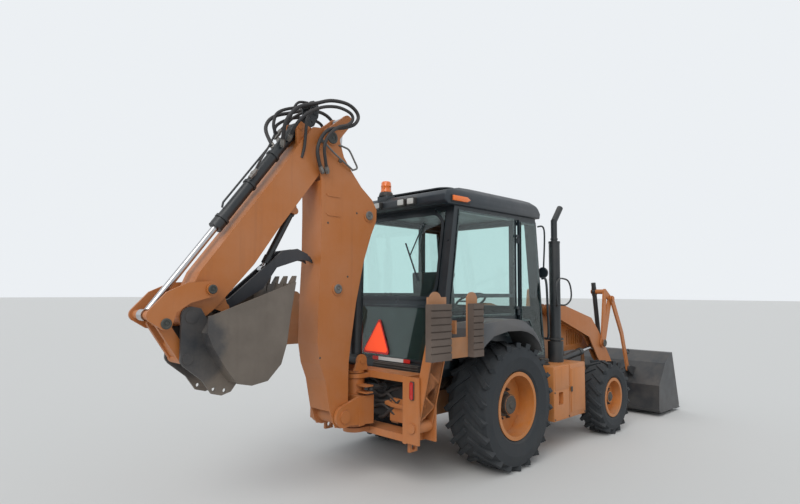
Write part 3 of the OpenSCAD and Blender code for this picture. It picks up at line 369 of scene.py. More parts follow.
# Studio
# A pale concrete floor under an even overcast sky, with one broad soft lamp that gives the
# machine a lit side and a shaded side.
floor_size = 300.0
sky_colour = (0.80, 0.84, 0.88, 1.0)
backdrop_colour = (0.84, 0.87, 0.90, 1.0)
bpy.ops.mesh.primitive_plane_add(size=floor_size, location=(0, 0, 0))
floor = bpy.context.object
floor.name = "floor"
floor_paint, _, floor_shader = new_finish("floor_concrete")
dial(floor_shader, Base_Color=(0.62, 0.62, 0.61, 1), Roughness=0.9)
floor.data.materials.append(floor_paint)
world = bpy.data.worlds.new("overcast")
scene.world = world
world.use_nodes = True
sky = world.node_tree
sky.nodes.clear()
seen = sky.nodes.new("ShaderNodeLightPath")
either, shown = (sky.nodes.new("ShaderNodeMath") for _ in range(2))
either.operation = shown.operation = "MAXIMUM"
light_sky, plain_sky = (sky.nodes.new("ShaderNodeBackground") for _ in range(2))
dial(light_sky, Color=sky_colour, Strength=0.80)
dial(plain_sky, Color=backdrop_colour)
blend_sky = sky.nodes.new("ShaderNodeMixShader")
world_out = sky.nodes.new("ShaderNodeOutputWorld")
for socket, output in ((either.inputs[0], seen.outputs["Is Camera Ray"]),
                       (either.inputs[1], seen.outputs["Is Glossy Ray"]),
                       (shown.inputs[0], either.outputs[0]),
                       (shown.inputs[1], seen.outputs["Is Transmission Ray"]),
                       (blend_sky.inputs["Fac"], shown.outputs[0]),
                       (blend_sky.inputs[1], light_sky.outputs[0]),
                       (blend_sky.inputs[2], plain_sky.outputs[0]),
                       (world_out.inputs["Surface"], blend_sky.outputs[0])):
    feed(socket, output)
lamp_data = bpy.data.lights.new("broad_lamp", "SUN")
lamp_data.energy = 1.5
lamp_data.angle = math.radians(40)
lamp_data.color = (1.0, 0.98, 0.95)
lamp = bpy.data.objects.new("broad_lamp", lamp_data)
lamp_tilt, lamp_heading = 48, -62
lamp.rotation_euler = (math.radians(lamp_tilt), 0, math.radians(lamp_heading))
scene.collection.objects.link(lamp)

# Chassis frame
# Welded box rails of thick plate with towers for the loader, sprayed orange and now coated
# in road dirt that settles on ledges and creeps up from below.
def finish_nodes(material, *names, slot_name=None):
    """Gives CAD nodes their finish; slot_name is not used."""
    for name in names:
        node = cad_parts[name]
        node.data.materials.clear()
        node.data.materials.append(material)


# The frame's orange is darker than the body's: painted shade under the machine, with real road dust over it.
frame_orange_shaded = weathered(
    "frame_orange_shaded", "frame_paint", (0.37, 0.130, 0.022), 0.55, dust=0.50, wear=0.4, fade=0.10)
finish_nodes(frame_orange_shaded, "main_frame")

# Engine and axles
# Rough iron castings in dark paint, oily in the middle and caked with dry mud outside.
iron = weathered(
    "iron_casting", "engine_iron", (0.030, 0.031, 0.034), 0.65, dust=0.6, wear=0.2, fade=0.25, bump=0.5)
finish_nodes(iron, "engine")
finish_nodes(iron, "axles", "knuckle_left", "knuckle_right", slot_name="frame_paint")

# Cab shell
# A welded steel frame in satin blue-black paint, under a roof moulded in dark plastic with
# rounded shoulders. The lower back is closed by a dark inner lining.
def laid(plane, a, b, across):
    """A place in a plane, named by its two axes, and its distance across it."""
    return {"XZ": (a, across, b), "YZ": (across, a, b), "XY": (a, b, across)}[plane]


def plate(outline, plane, start, end, soft=0.0, border=0.0):
    """A plate cut to an outline in one plane and drawn out from start to end across it, with
    soft edges, or with its middle cut out so that a border of even width is left."""
    corners = [laid(plane, a, b, start) for a, b in outline]
    piece = drawn([(axle_x + x, y, z) for x, y, z in corners])
    edit(piece)
    if border:
        bpy.ops.mesh.inset(thickness=border, depth=0)
        bpy.ops.mesh.delete(type="FACE")
        bpy.ops.mesh.select_all(action="SELECT")
    bpy.ops.mesh.extrude_region_move(TRANSFORM_OT_translate={"value": laid(plane, 0, 0, end - start)})
    shut()
    if soft:
        finish(piece, "BEVEL", width=soft, segments=2, limit_method="ANGLE")
    return piece


def finish(piece, kind, **values):
    """Adds a modifier, sets it and applies it."""
    pick(piece)
    modifier = piece.modifiers.new(kind.lower(), kind)
    for label, value in values.items():
        setattr(modifier, label, value)
    bpy.ops.object.modifier_apply(modifier=modifier.name)


def carve(piece, tool, operation="DIFFERENCE"):
    """Cuts a piece with a tool body, which is used up."""
    finish(piece, "BOOLEAN", object=tool, operation=operation, solver="EXACT")
    bpy.data.objects.remove(tool)


def rounded(low, high, radius, steps=5):
    """A rectangle with round corners, from its low and high corner."""
    (left, foot), (right, top) = low, high
    outline = []
    for turn_start, x, z in ((180, left + radius, foot + radius), (270, right - radius, foot + radius),
                             (0, right - radius, top - radius), (90, left + radius, top - radius)):
        for step in range(steps + 1):
            angle = math.radians(turn_start + 90 * step / steps)
            outline.append((x + radius * math.cos(angle), z + radius * math.sin(angle)))
    return outline


cab_black = weathered("cab_black", "black_paint", (0.008, 0.016, 0.022), 0.30, dust=0.05, wear=0.04)
finish_nodes(cab_black, "cab_frame", "door_left", "door_right")
roof_black = weathered("roof_black", "black_paint", (0.013, 0.022, 0.031), 0.40, dust=0.05, fade=0.05)
roof_foot = 2.6503
roof_side = [(-0.770, roof_foot), (-0.815, 2.680), (-0.818, 2.742), (-0.770, 2.790), (-0.560, 2.835),
             (-0.280, 2.862), (0.0, 2.872), (0.450, 2.872), (0.740, 2.850), (0.860, 2.790), (0.925, 2.710),
             (0.910, roof_foot)]
roof_half = [(0.750, roof_foot), (0.750, 2.760), (0.738, 2.800), (0.705, 2.835), (0.650, 2.858),
             (0.570, 2.875)]
roof = plate(roof_side, "XZ", -0.80, 0.80)
shoulders = plate(roof_half + [(-y, z) for y, z in reversed(roof_half)], "YZ", -1.0, 1.1)
carve(roof, shoulders, "INTERSECT")
finish(roof, "BEVEL", width=0.012, segments=3, limit_method="ANGLE", angle_limit=math.radians(25))
fit("roof_shell", roof_black, roof, smooth=40)
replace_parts(roof, "cab_roof")
fit("roof_panel", roof_black, plate(rounded((-0.52, -0.50), (0.62, 0.50), 0.12), "XY", 2.866, 2.884, 0.006))
fit("beacon_pad", roof_black,
    plate(rounded((-0.800, 0.085), (-0.665, 0.245), 0.02), "XY", 2.755, 2.822, 0.006))


lean_foot, lean_slope = 1.05, 0.15625
glass_back, border_back = -0.8992, -0.9015
both_sides = ((1, "left"), (-1, "right"))


def pipe(points, radius, side=1, rounds=5):
    """A pipe bent smoothly through the points, or on the other side with side -1."""
    return bent_tube(smooth_line([spot(x, side * y, z) for x, y, z in points], rounds), radius)


def lean_back(piece):
    """Lets an upright piece lean with the cab's back."""
    for vertex in piece.data.vertices:
        vertex.co.x += (vertex.co.z - lean_foot) * lean_slope
    return piece


lining_green = weathered("lining_green", "black_plastic", (0.010, 0.020, 0.020), 0.35, dust=0.12, fade=0.02)
fit("rear_lining", lining_green,
    lean_back(plate(rounded((-0.598, 1.112), (0.598, 1.638), 0.01), "YZ", -0.872, -0.862)))
for name, low, high, corner, steps, width in (
        ("rear_window_border", (-0.618, 1.708), (0.618, 2.602), 0.17, 9, 0.034),
        ("lower_window_border", (-0.615, 1.100), (0.615, 1.650), 0.05, 6, 0.022)):
    edge = rounded(low, high, corner, steps)
    fit(name, cab_black, lean_back(plate(edge, "YZ", border_back, glass_back, border=width)))
for side, label in both_sides:
    fit("door_handle_" + label, cab_black,
        plate(rounded((0.500, 1.300), (0.620, 1.345), 0.018), "XZ", side * 0.7545, side * 0.790, 0.006),
        "door_" + label)
    fit("grab_rail_" + label, cab_black,
        pipe([(0.985, 0.752, 1.25), (0.985, 0.800, 1.28), (0.965, 0.805, 1.60), (0.945, 0.800, 1.92),
              (0.945, 0.745, 1.95)], 0.014, side, 6), smooth=60)
    fit("mirror_arm_" + label, cab_black,
        pipe([(0.880, 0.735, 2.56), (0.960, 0.775, 2.52), (1.030, 0.72, 2.08)], 0.010, side, 6), smooth=60)
    fit("mirror_" + label, cab_black,
        turned([(0, 0), (0.062, 0), (0.068, 0.006), (0.062, 0.026), (0.030, 0.036), (0, 0.038)],
               spot(1.012, side * 0.715, 2.02), (1, 0, 0)))
fit("rear_wiper_arm", cab_black,
    bent_tube([spot(-0.684, -0.35, 2.50), spot(-0.735, -0.20, 2.16), spot(-0.735, -0.205, 2.14)], 0.007),
    smooth=60)
fit("rear_wiper_blade", cab_black,
    lean_back(plate([(-0.36, 1.900), (-0.345, 1.895), (-0.105, 2.295), (-0.12, 2.300)],
                    "YZ", -0.908, border_back)))

# Cab glazing
# Flat panes of faintly green safety glass bonded on the outside of the frame.
glass, _, glass_shader = new_finish("tinted_glass")
dial(glass_shader, Base_Color=(0.74, 0.90, 0.875, 1), Transmission_Weight=1.0, Roughness=0.0, IOR=1.40)
finish_nodes(glass, "cab_glass", "door_glass_left", "door_glass_right")

# Signs on the back
# A blank orange and red warning triangle of sheet metal, a reflecting strip, and the slatted
# plastic cover of the air outlet, all fixed to the back of the cab.
sign_orange_glow = weathered("sign_orange_glow", "lamp_plastic", (1.0, 0.090, 0.018), 0.45, dust=0.0, bump=0.05)
sign_red = weathered("sign_red", "lamp_plastic", (0.55, 0.014, 0.010), 0.35, dust=0.10, bump=0.05)
sign_white = weathered("sign_white", "lamp_plastic", (0.62, 0.62, 0.60), 0.40, dust=0.15, bump=0.05)
# The triangle's orange face is given a faint glow, though it is no lamp: painted light that brightens it in
# the shade at the back of the cab.
dial(sign_orange_glow.node_tree.nodes["Principled BSDF"], Emission_Color=(1.0, 0.070, 0.012, 1),
     Emission_Strength=0.45)
sign_back = -0.905
middle_y, middle_z = 0.143, 1.285
triangle = [(-0.014, 0.205), (0.014, 0.205), (0.195, -0.118), (0.180, -0.145), (-0.180, -0.145),
            (-0.195, -0.118)]
for name, material, scale, depth in (("triangle_rim", sign_red, 1.0, 0.004),
                                     ("triangle_face", sign_orange_glow, 0.86, 0.0055)):
    fit(name, material,
        lean_back(plate([(middle_y + y * scale, middle_z + z * scale) for y, z in triangle],
                        "YZ", sign_back, sign_back - depth)))
fit("triangle_bracket", cab_black,
    lean_back(plate(rounded((0.10, 1.20), (0.19, 1.36), 0.01), "YZ", sign_back, -0.8995)))
strip_start, strip_step, strip_low, strip_high = 0.165, 0.09, 1.082, 1.118
for index in range(6):
    low_y = strip_start - strip_step * (index + 1)
    fit("reflector_%d" % index, sign_red if index in (0, 5) else sign_white,
        plate([(low_y, strip_low), (low_y + strip_step, strip_low), (low_y + strip_step, strip_high),
               (low_y, strip_high)], "YZ", -0.914, -0.910))
outlet_black = weathered("outlet_black", "black_plastic", (0.012, 0.014, 0.017), 0.45, dust=0.22, fade=0.03)
slat_pitch = 0.024
slats = [(-0.9095, 0.968), (-0.955, 0.968)]
for index in range(4):
    slats += [(x, z + index * slat_pitch)
              for x, z in ((-0.955, 0.974), (-0.962, 0.976), (-0.962, 0.990), (-0.950, 0.992))]
slats += [(-0.955, 1.072), (-0.9095, 1.072)]
fit("air_outlet", outlet_black, plate(slats, "XZ", -0.52, 0.11, 0.0015))

# Inside of the cab
# Moulded consoles in near-black plastic, and a sprung seat: a bellows on the floor, a
# plastic shell, and crowned cushions of black cloth with a sewn edge.
inside_plastic = weathered(
    "inside_plastic", "black_plastic", (0.024, 0.027, 0.031), 0.55, dust=0.10, fade=0.05)
finish_nodes(inside_plastic, "controls")
cloth = weathered("seat_cloth", "seat_fabric", (0.030, 0.034, 0.038), 0.9, dust=0.12, fade=0.05, bump=0.2)
cloth_tree = cloth.node_tree
soft_bump = next(n for n in cloth_tree.nodes if n.type == "BUMP")
weave_place = cloth_tree.nodes.new("ShaderNodeTexCoord").outputs["Object"]
weave = cloth_tree.nodes.new("ShaderNodeTexChecker")
dial(weave, Vector=weave_place, Scale=260.0)
dial(soft_bump, Normal=add_bump(cloth_tree, weave.outputs["Fac"], strength=0.35, distance=0.001))


channel_place, channel_width, channel_depth = 0.52, 0.07, 0.010


def cushion(width, depth, thick, crown, pinch, matrix):
    """A crowned pad: its top swells in the middle, its sides pull in between the corners."""
    bpy.ops.mesh.primitive_cube_add(size=1)
    pad = bpy.context.object
    edit(pad)
    bpy.ops.mesh.subdivide(number_cuts=11)
    shut()
    for vertex in pad.data.vertices:
        u, v, w = vertex.co * 2
        sag = 1 - 0.5 * (abs(u) ** 4 + abs(v) ** 4)
        dip = math.exp(-((abs(u) - channel_place) / channel_width) ** 2)
        channel = channel_depth * dip * (1 - v ** 4) if w > 0 else 0
        pull = pinch * (0.35 if w > 0 else 1.0)
        x = u * (depth / 2 - pull * (1 - v * v))
        y = v * (width / 2 - pull * (1 - u * u))
        z = w * thick / 2 + (crown * sag * (1 - 0.55 * max(abs(u), abs(v)) ** 6) - channel if w > 0 else 0)
        vertex.co = (x, y, z)
    finish(pad, "BEVEL", width=0.016, segments=2, limit_method="ANGLE", angle_limit=math.radians(50))
    finish(pad, "SUBSURF", levels=1, render_levels=1)
    pad.matrix_world = matrix
    return pad


def joined(pieces):
    """Joins pieces into the first one, with their places frozen."""
    pick(*pieces)
    bpy.ops.object.transform_apply(location=True, rotation=True, scale=True)
    bpy.ops.object.join()
    return pieces[0]


seat_place = Matrix.Translation(spot(0.055, 0, 1.372))
back_place = Matrix.Translation(spot(-0.128, 0, 1.722)) @ Matrix.Rotation(math.radians(83), 4, "Y")
seat_pad = fit("seat_cushion", cloth, cushion(0.48, 0.46, 0.085, 0.026, 0.012, seat_place), smooth=80)
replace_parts(seat_pad, "seat")
back_pad = fit("back_cushion", cloth, cushion(0.46, 0.58, 0.085, 0.022, 0.014, back_place), smooth=80)
fit("seat_shell", inside_plastic,
    plate([(-0.205, 1.40), (-0.172, 1.40), (-0.225, 2.00), (-0.240, 2.01), (-0.252, 1.99)],
          "XZ", -0.225, 0.225, 0.012))
fold_pitch = 0.052
bellows = [(-0.15, 0.9805)]
for index in range(6):
    bellows += [(-0.175, 1.005 + index * fold_pitch), (-0.140, 1.031 + index * fold_pitch)]
bellows += [(-0.15, 1.325)]
bellows += [(0.05 - x, z) for x, z in reversed(bellows)]
fit("seat_bellows", inside_plastic, plate(bellows, "XZ", -0.16, 0.16, 0.006))
for side, label in both_sides:
    rest = plate(rounded((-0.180, 1.560), (0.120, 1.610), 0.022), "XZ", side * 0.262, side * 0.298, 0.008)
    stay = plate([(-0.175, 1.45), (-0.135, 1.45), (-0.135, 1.58), (-0.175, 1.58)],
                 "XZ", side * 0.215, side * 0.275, 0.006)
    fit("armrest_" + label, inside_plastic, joined([rest, stay]))

# Fenders and tanks
# Grey moulded arches over the rear tyres, and painted steel boxes below the doors with a
# seam, a small recess, a tool door and a filler cap.
fender_grey = weathered(
    "fender_grey", "grey_plastic", (0.060, 0.066, 0.074), 0.50, dust=0.18, wear=0.05, fade=0.08)
fender_line = [(-0.690, 1.250), (-0.676, 1.440), (-0.635, 1.490), (-0.389, 1.509), (-0.098, 1.519),
               (0.020, 1.502), (0.107, 1.472), (0.220, 1.408), (0.293, 1.350), (0.373, 1.235), (0.412, 1.166)]
fender_under = [(0.400, 1.160), (0.361, 1.228), (0.283, 1.341), (0.213, 1.397), (0.102, 1.460),
                (0.017, 1.489), (-0.098, 1.506), (-0.389, 1.496), (-0.629, 1.478), (-0.664, 1.436),
                (-0.677, 1.250)]
fender_lip = [(0.398, 1.162), (0.345, 1.250), (0.238, 1.334), (0.120, 1.378), (0.0, 1.397), (-0.231, 1.401),
              (-0.466, 1.365), (-0.600, 1.290), (-0.655, 1.245)]
body_orange = weathered(
    "body_orange", "orange_paint", (0.50, 0.162, 0.022), 0.40, dust=0.12, wear=0.25, fade=0.08, coat=0.15)
finish_nodes(body_orange, "hood")
tank_face = 0.978
seam_black = weathered("seam_black", "black_plastic", (0.008, 0.008, 0.009), 0.7, dust=0.3)
for side, label in both_sides:
    arch = plate(fender_line + fender_under, "XZ", side * 0.7203, side * 1.060, 0.004)
    lip = plate(fender_line + fender_lip, "XZ", side * 1.052, side * 1.066, 0.004)
    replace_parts(fit("fender_" + label, fender_grey, joined([arch, lip])), "fenders")
    face_y = side * tank_face
    tank = plate([(0.780, 0.345), (1.520, 0.345), (1.520, 0.955), (0.780, 0.955)],
                 "XZ", side * 0.622, face_y, 0.012)
    seam = [(1.128, 0.30), (1.140, 0.30), (1.140, 1.0), (1.128, 1.0)]
    carve(tank, plate(seam, "XZ", side * 0.966, side * 1.05))
    carve(tank, plate(rounded((0.885, 0.520), (0.985, 0.660), 0.008, 3), "XZ", side * 0.930, side * 1.05))
    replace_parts(fit("tank_" + label, body_orange, tank, smooth=30), "side_tanks")
    for name, material, low, high, corner, start, end, soft in (
            ("tool_door_", body_orange, (1.165, 0.400), (1.500, 0.905), 0.012, 0.0, 0.006, 0.002),
            ("tank_panel_", body_orange, (0.800, 0.690), (1.105, 0.930), 0.012, 0.0, 0.005, 0.002),
            ("tool_latch_", seam_black, (1.150, 0.640), (1.185, 0.700), 0.008, 0.006, 0.016, 0.003)):
        fit(name + label, material,
            plate(rounded(low, high, corner, 3), "XZ", face_y + side * start, face_y + side * end, soft))
    fit("filler_cap_" + label, seam_black,
        turned([(0, 0), (0.062, 0), (0.062, 0.012), (0.048, 0.014), (0.048, 0.034), (0.056, 0.036),
                (0.056, 0.062), (0.050, 0.070), (0, 0.070)],
               spot(0.895, side * 0.790, 0.9545), (0, 0, 1), 20))
    for index, (x, z) in enumerate(((0.80, 0.37), (1.49, 0.37), (0.80, 0.665), (1.115, 0.37))):
        fit("tank_bolt_%s_%d" % (label, index), seam_black,
            turned([(0, 0), (0.010, 0), (0.010, 0.005), (0.007, 0.008), (0, 0.008)],
                   spot(x, face_y, z), (0, side, 0), 6))

# Exhaust
# A black stack whose perforated shield hides the silencer, with band clamps round it and a
# bent guard pipe. The swing cylinders are in the same paint, the grille in black plastic.
black_steel = weathered(
    "black_steel", "cylinder_paint", (0.008, 0.014, 0.019), 0.36, dust=0.10, wear=0.12, fade=0.03)
finish_nodes(black_steel, "exhaust", "hydraulics")
black_plastic = weathered("black_plastic", "black_plastic", (0.012, 0.013, 0.015), 0.5, dust=0.2, fade=0.04)
finish_nodes(black_plastic, "grille")
stack_x, stack_y = 1.25, -0.74
bands = ((1.215, 0.096), (1.62, 0.068), (1.93, 0.068), (2.385, 0.070), (2.425, 0.044))
for index, (z, radius) in enumerate(bands):
    fit("exhaust_band_%d" % index, black_steel,
        turned([(radius - 0.004, 0), (radius, 0.002), (radius, 0.022), (radius - 0.004, 0.024)],
               spot(stack_x, stack_y, z), (0, 0, 1), 32))
fit("exhaust_guard", black_steel,
    pipe([(1.20, -0.79, 1.635), (1.09, -0.86, 1.635), (1.04, -0.88, 1.72), (1.04, -0.88, 1.87),
          (1.11, -0.87, 1.94), (1.25, -0.84, 1.955), (1.37, -0.85, 1.93), (1.42, -0.86, 1.84),
          (1.42, -0.86, 1.71), (1.36, -0.83, 1.64), (1.30, -0.79, 1.635)], 0.010), smooth=60)

# Lamps
# An amber beacon on a black foot, clear work lamps in dark housings, amber markers on the
# roof's corners and red tail lamps on the posts.
def lens(name, colour):
    """Moulded lens plastic with fine ribs, glossy and coloured right through."""
    material, tree, shader = new_finish(name)
    where = tree.nodes.new("ShaderNodeTexCoord").outputs["Object"]
    ribs = tree.nodes.new("ShaderNodeTexWave")
    ribs.bands_direction = "Z"
    dial(ribs, Vector=where, Scale=55.0)
    tint = add_mix(tree, add_range(tree, ribs.outputs["Fac"], 0.2, 0.9, 0.0, 0.35), (*colour, 1),
                   tuple(c * 0.45 for c in colour) + (1,))
    dial(shader, Base_Color=tint, Roughness=0.12, Coat_Weight=0.6, Coat_Roughness=0.05,
         Normal=add_bump(tree, ribs.outputs["Fac"], strength=0.3, distance=0.002))
    return material


amber = lens("amber_lens", (0.95, 0.19, 0.012))
red_lens = lens("red_lens", (0.52, 0.010, 0.008))
clear_lens = lens("clear_lens", (0.55, 0.56, 0.54))
beacon_foot = spot(-0.735, 0.165, 2.822)
fit("beacon_foot", black_plastic,
    turned([(0, 0), (0.080, 0), (0.080, 0.010), (0.070, 0.040), (0.062, 0.046), (0, 0.046)],
           beacon_foot, (0, 0, 1)))
dome = turned([(0, 0.046), (0.058, 0.046), (0.060, 0.060), (0.057, 0.064), (0.056, 0.108), (0.059, 0.112),
               (0.056, 0.118), (0.053, 0.150), (0.044, 0.164), (0, 0.170)], beacon_foot, (0, 0, 1))
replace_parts(fit("beacon_dome", amber, dome, smooth=50), "lamps")
lamp_width, lamp_height, lamp_rim = 0.105, 0.078, 0.010
rear_lamps, front_lamps = (-1, -0.816, -0.862), (1, 0.905, 0.968)
lamp_row = ((0.130, 2.668, rear_lamps), (0.270, 2.668, rear_lamps),
            (0.390, 2.662, front_lamps), (0.545, 2.662, front_lamps))
for side, label in both_sides:
    for index, (low_y, z, (face, inner, outer)) in enumerate(lamp_row):
        near, far = sorted((side * low_y, side * (low_y + lamp_width)))
        fit("work_lamp_%s_%d" % (label, index), black_plastic,
            plate(rounded((near, z), (far, z + lamp_height), 0.014), "YZ", inner, outer, 0.005))
        fit("work_lens_%s_%d" % (label, index), clear_lens,
            plate(rounded((near + lamp_rim, z + lamp_rim),
                          (far - lamp_rim, z + lamp_height - lamp_rim), 0.010),
                  "YZ", outer - face * 0.002, outer + face * 0.004, 0.002))
    fit("marker_housing_" + label, black_plastic,
        plate(rounded((-0.730, 2.672), (-0.430, 2.748), 0.012), "XZ", side * 0.748, side * 0.760, 0.003))
    fit("marker_lamp_" + label, amber,
        plate([(-0.718, 2.684), (-0.500, 2.684), (-0.445, 2.710), (-0.500, 2.736), (-0.718, 2.736)],
              "XZ", side * 0.758, side * 0.776, 0.004))
    near, far = sorted((side * 0.700, side * 0.748))
    fit("tail_housing_" + label, black_plastic,
        plate(rounded((near, 0.820), (far, 0.985), 0.010), "YZ", -1.2403, -1.252, 0.003))
    fit("tail_lamp_" + label, red_lens,
        plate(rounded((near + 0.005, 0.826), (far - 0.005, 0.979), 0.010), "YZ", -1.251, -1.264, 0.003))

# Wheels
# Deep-lugged tyres grey with dust, on dished steel rims in the machine's orange, each held
# by a ring of nuts round a cast hub.
tyre_black = weathered(
    "tyre_black", "tyre_rubber", (0.011, 0.016, 0.021), 0.72, dust=0.30, bump=0.5,
    dust_colour=(0.085, 0.085, 0.085))
rim_orange = weathered(
    "rim_orange", "orange_paint", (0.50, 0.160, 0.018), 0.42, dust=0.16, wear=0.25, fade=0.08)
hub_iron = weathered(
    "hub_iron", "engine_iron", (0.014, 0.018, 0.018), 0.6, dust=0.18, wear=0.1, fade=0.05, bump=0.4)
nut_count = 8
for corner, x, z, disc_y, hub_y, hub_r, nut_ring, rim_r, bead_r, wall_y in (
        ("rear", 0.0, 0.640, 0.8383, 0.9303, 0.094, 0.150, 0.340, 0.410, 1.0184),
        ("front", 2.165, 0.455, 0.9282, 0.9852, 0.062, 0.100, 0.245, 0.300, 1.0361)):
    for side, label in both_sides:
        name = corner + "_" + label
        finish_nodes(tyre_black, "tyre_" + name)
        finish_nodes(rim_orange, "rim_" + name)
        hub_top = hub_y - disc_y
        fit("hub_" + name, hub_iron,
            turned([(0, 0), (hub_r + 0.034, 0), (hub_r + 0.034, 0.014), (hub_r + 0.018, 0.022),
                    (hub_r + 0.006, 0.026), (hub_r + 0.006, hub_top - 0.01),
                    (hub_r - 0.006, hub_top + 0.006), (0.040, hub_top + 0.008),
                    (0.036, hub_top + 0.018), (0, hub_top + 0.018)],
                   spot(x, side * disc_y, z), (0, side, 0), 36), "wheel_" + name)
        nuts = []
        for index in range(nut_count):
            angle = math.radians(360 / nut_count * (index + 0.5))
            place = spot(x + nut_ring * math.cos(angle), side * disc_y, z + nut_ring * math.sin(angle))
            nuts.append(turned([(0, 0), (0.019, 0), (0.019, 0.005), (0.015, 0.006), (0.015, 0.024),
                                (0.009, 0.026), (0.009, 0.040), (0, 0.041)], place, (0, side, 0), 6))
        fit("wheel_nuts_" + name, hub_iron, joined(nuts), "wheel_" + name)
        fit("rim_step_" + name, rim_orange,
            turned([(rim_r - 0.030, -0.050), (rim_r - 0.012, -0.046), (rim_r - 0.008, -0.020),
                    (rim_r - 0.003, -0.012), (rim_r - 0.001, -0.001), (rim_r - 0.012, 0.0),
                    (rim_r - 0.020, -0.012), (rim_r - 0.034, -0.040)],
                   spot(x, side * wall_y, z), (0, side, 0), 56), "wheel_" + name)
        fit("tyre_ring_" + name, tyre_black,
            turned([(bead_r - 0.006, -0.006), (bead_r, 0.0), (bead_r + 0.006, -0.006), (bead_r, -0.012)],
                   spot(x, side * (wall_y + 0.0065), z), (0, side, 0), 64), "wheel_" + name)

# Loader
# Fabricated arms and links in orange, with black cylinders and a blue-black bucket.
arm_orange = weathered(
    "arm_orange", "orange_paint", (0.46, 0.143, 0.024), 0.42, dust=0.12, wear=0.35, fade=0.10)
finish_nodes(arm_orange, "loader_arms", "bell_cranks", "tilt_links")
finish_nodes(black_steel, "lift_barrels", "tilt_barrels")
chrome = weathered("rod_chrome", "rod_chrome", (0.50, 0.50, 0.51), 0.20, dust=0.12, bump=0.03, metal=1.0)
finish_nodes(chrome, "lift_rods", "tilt_rods")
loader_steel = weathered(
    "loader_steel", "bucket_steel", (0.012, 0.018, 0.025), 0.34, dust=0.10, wear=0.32, fade=0.04, bump=0.25,
    bare=(0.075, 0.068, 0.060))
finish_nodes(loader_steel, "loader_bucket")
cap_black = weathered("cap_black", "rod_chrome", (0.020, 0.030, 0.028), 0.45, dust=0.28, wear=0.3, fade=0.05)


def pin_cap(name, x, y, z, side, radius, body, material):
    """The head of a pin: a plate with a turned rim, a sunk middle and a grease nipple."""
    head = turned([(0, 0), (radius, 0), (radius, 0.007), (radius - 0.004, 0.010), (radius * 0.62, 0.010),
                   (radius * 0.56, 0.0045), (0.009, 0.0045), (0.008, 0.0095), (0.004, 0.011), (0, 0.011)],
                  spot(x, side * y, z), (0, side, 0), 24)
    fit(name, material, head, body)


arm_face = 0.6535
for side, label in both_sides:
    fit("loader_ring_" + label, loader_steel,
        turned([(0.030, -0.012), (0.042, 0.0), (0.030, 0.012), (0.018, 0.0)],
               spot(3.60, side * 0.62, 0.900), (0.2, 1, 0), 20), "loader_bucket", smooth=60)
    for name, x, z in (("knee", 2.760, 1.080), ("tip", 3.400, 0.260)):
        pin_cap("%s_cap_%s" % (name, label), x, arm_face, z, side, 0.050, "loader_arms", cap_black)

# Digging arm
# Rear frame, swing tower, boom and dipper are heavy welded plate in the same orange, joined
# by pins with turned heads. A steel pipe runs along the tool cylinder, and rubber hoses bend
# over the elbow and across the rear frame.
cap_steel = weathered(
    "cap_steel", "rod_chrome", (0.16, 0.165, 0.165), 0.45, dust=0.30, wear=0.2, fade=0.1, metal=0.6)
finish_nodes(arm_orange, "rear_frame", "swing_tower", "boom", "dipper", "guide_links", "tool_link",
             "leg_left", "leg_right")
finish_nodes(black_steel, "boom_barrel", "dipper_barrel", "tool_barrel", "thumb_barrel")
finish_nodes(chrome, "boom_rod", "dipper_rod", "tool_rod", "thumb_rod")
boom_face = 0.150
for side, label in both_sides:
    for name, x, z, y, radius, body, material in (
            ("boom_cylinder", -1.270, 2.530, 0.158, 0.044, "boom", cap_steel),
            ("dipper_cylinder", -1.650, 1.810, 0.158, 0.044, "boom", cap_steel),
            ("elbow", -1.740, 3.215, 0.160, 0.058, "boom", cap_black),
            ("guide", -2.8998, 1.7993, 0.1942, 0.036, "dipper", cap_black),
            ("tool_link", -3.2392, 1.5484, 0.1742, 0.040, "guide_links", cap_black)):
        pin_cap("%s_pin_cap_%s" % (name, label), x, y, z, side, radius, body, material)
    for index, (x, z) in enumerate(((-1.425, 2.540), (-1.771, 2.416), (-1.530, 1.926), (-1.839, 1.192))):
        fit("boom_plug_%s_%d" % (label, index), cap_black,
            turned([(0, 0), (0.010, 0), (0.009, 0.003), (0.004, 0.003), (0.003, 0.0015), (0, 0.0015)],
                   spot(x, side * boom_face, z), (0, side, 0), 12), "boom")
    for index, z in enumerate((2.670, 2.490)):
        fit("boom_bead_%s_%d" % (label, index), arm_orange,
            plate([(-1.800, z + 0.016), (-1.780, z - 0.004), (-1.755, z - 0.009), (-1.640, z - 0.009),
                   (-1.628, z), (-1.640, z + 0.006), (-1.757, z + 0.005), (-1.772, z + 0.014)],
                  "XZ", side * 0.1495, side * 0.1545, 0.0015), "boom")
fit("hose_guard", cap_steel,
    pipe([(-1.868, -0.158, 3.166), (-1.860, -0.170, 3.163), (-1.734, -0.188, 3.062), (-1.520, -0.175, 2.955),
          (-1.500, -0.170, 2.946), (-1.440, -0.165, 2.976), (-1.475, -0.165, 3.040), (-1.540, -0.165, 3.130),
          (-1.600, -0.163, 3.150), (-1.640, -0.158, 3.158), (-1.655, -0.146, 3.158)], 0.009),
    "boom", smooth=60)
for index, (x, z) in enumerate(((-1.860, 3.163), (-1.640, 3.015))):
    fit("guard_clip_%d" % index, cap_steel,
        turned([(0, 0), (0.020, 0), (0.020, 0.016), (0.012, 0.022), (0, 0.022)],
               spot(x, -boom_face, z), (0, -1, 0), 6), "boom")
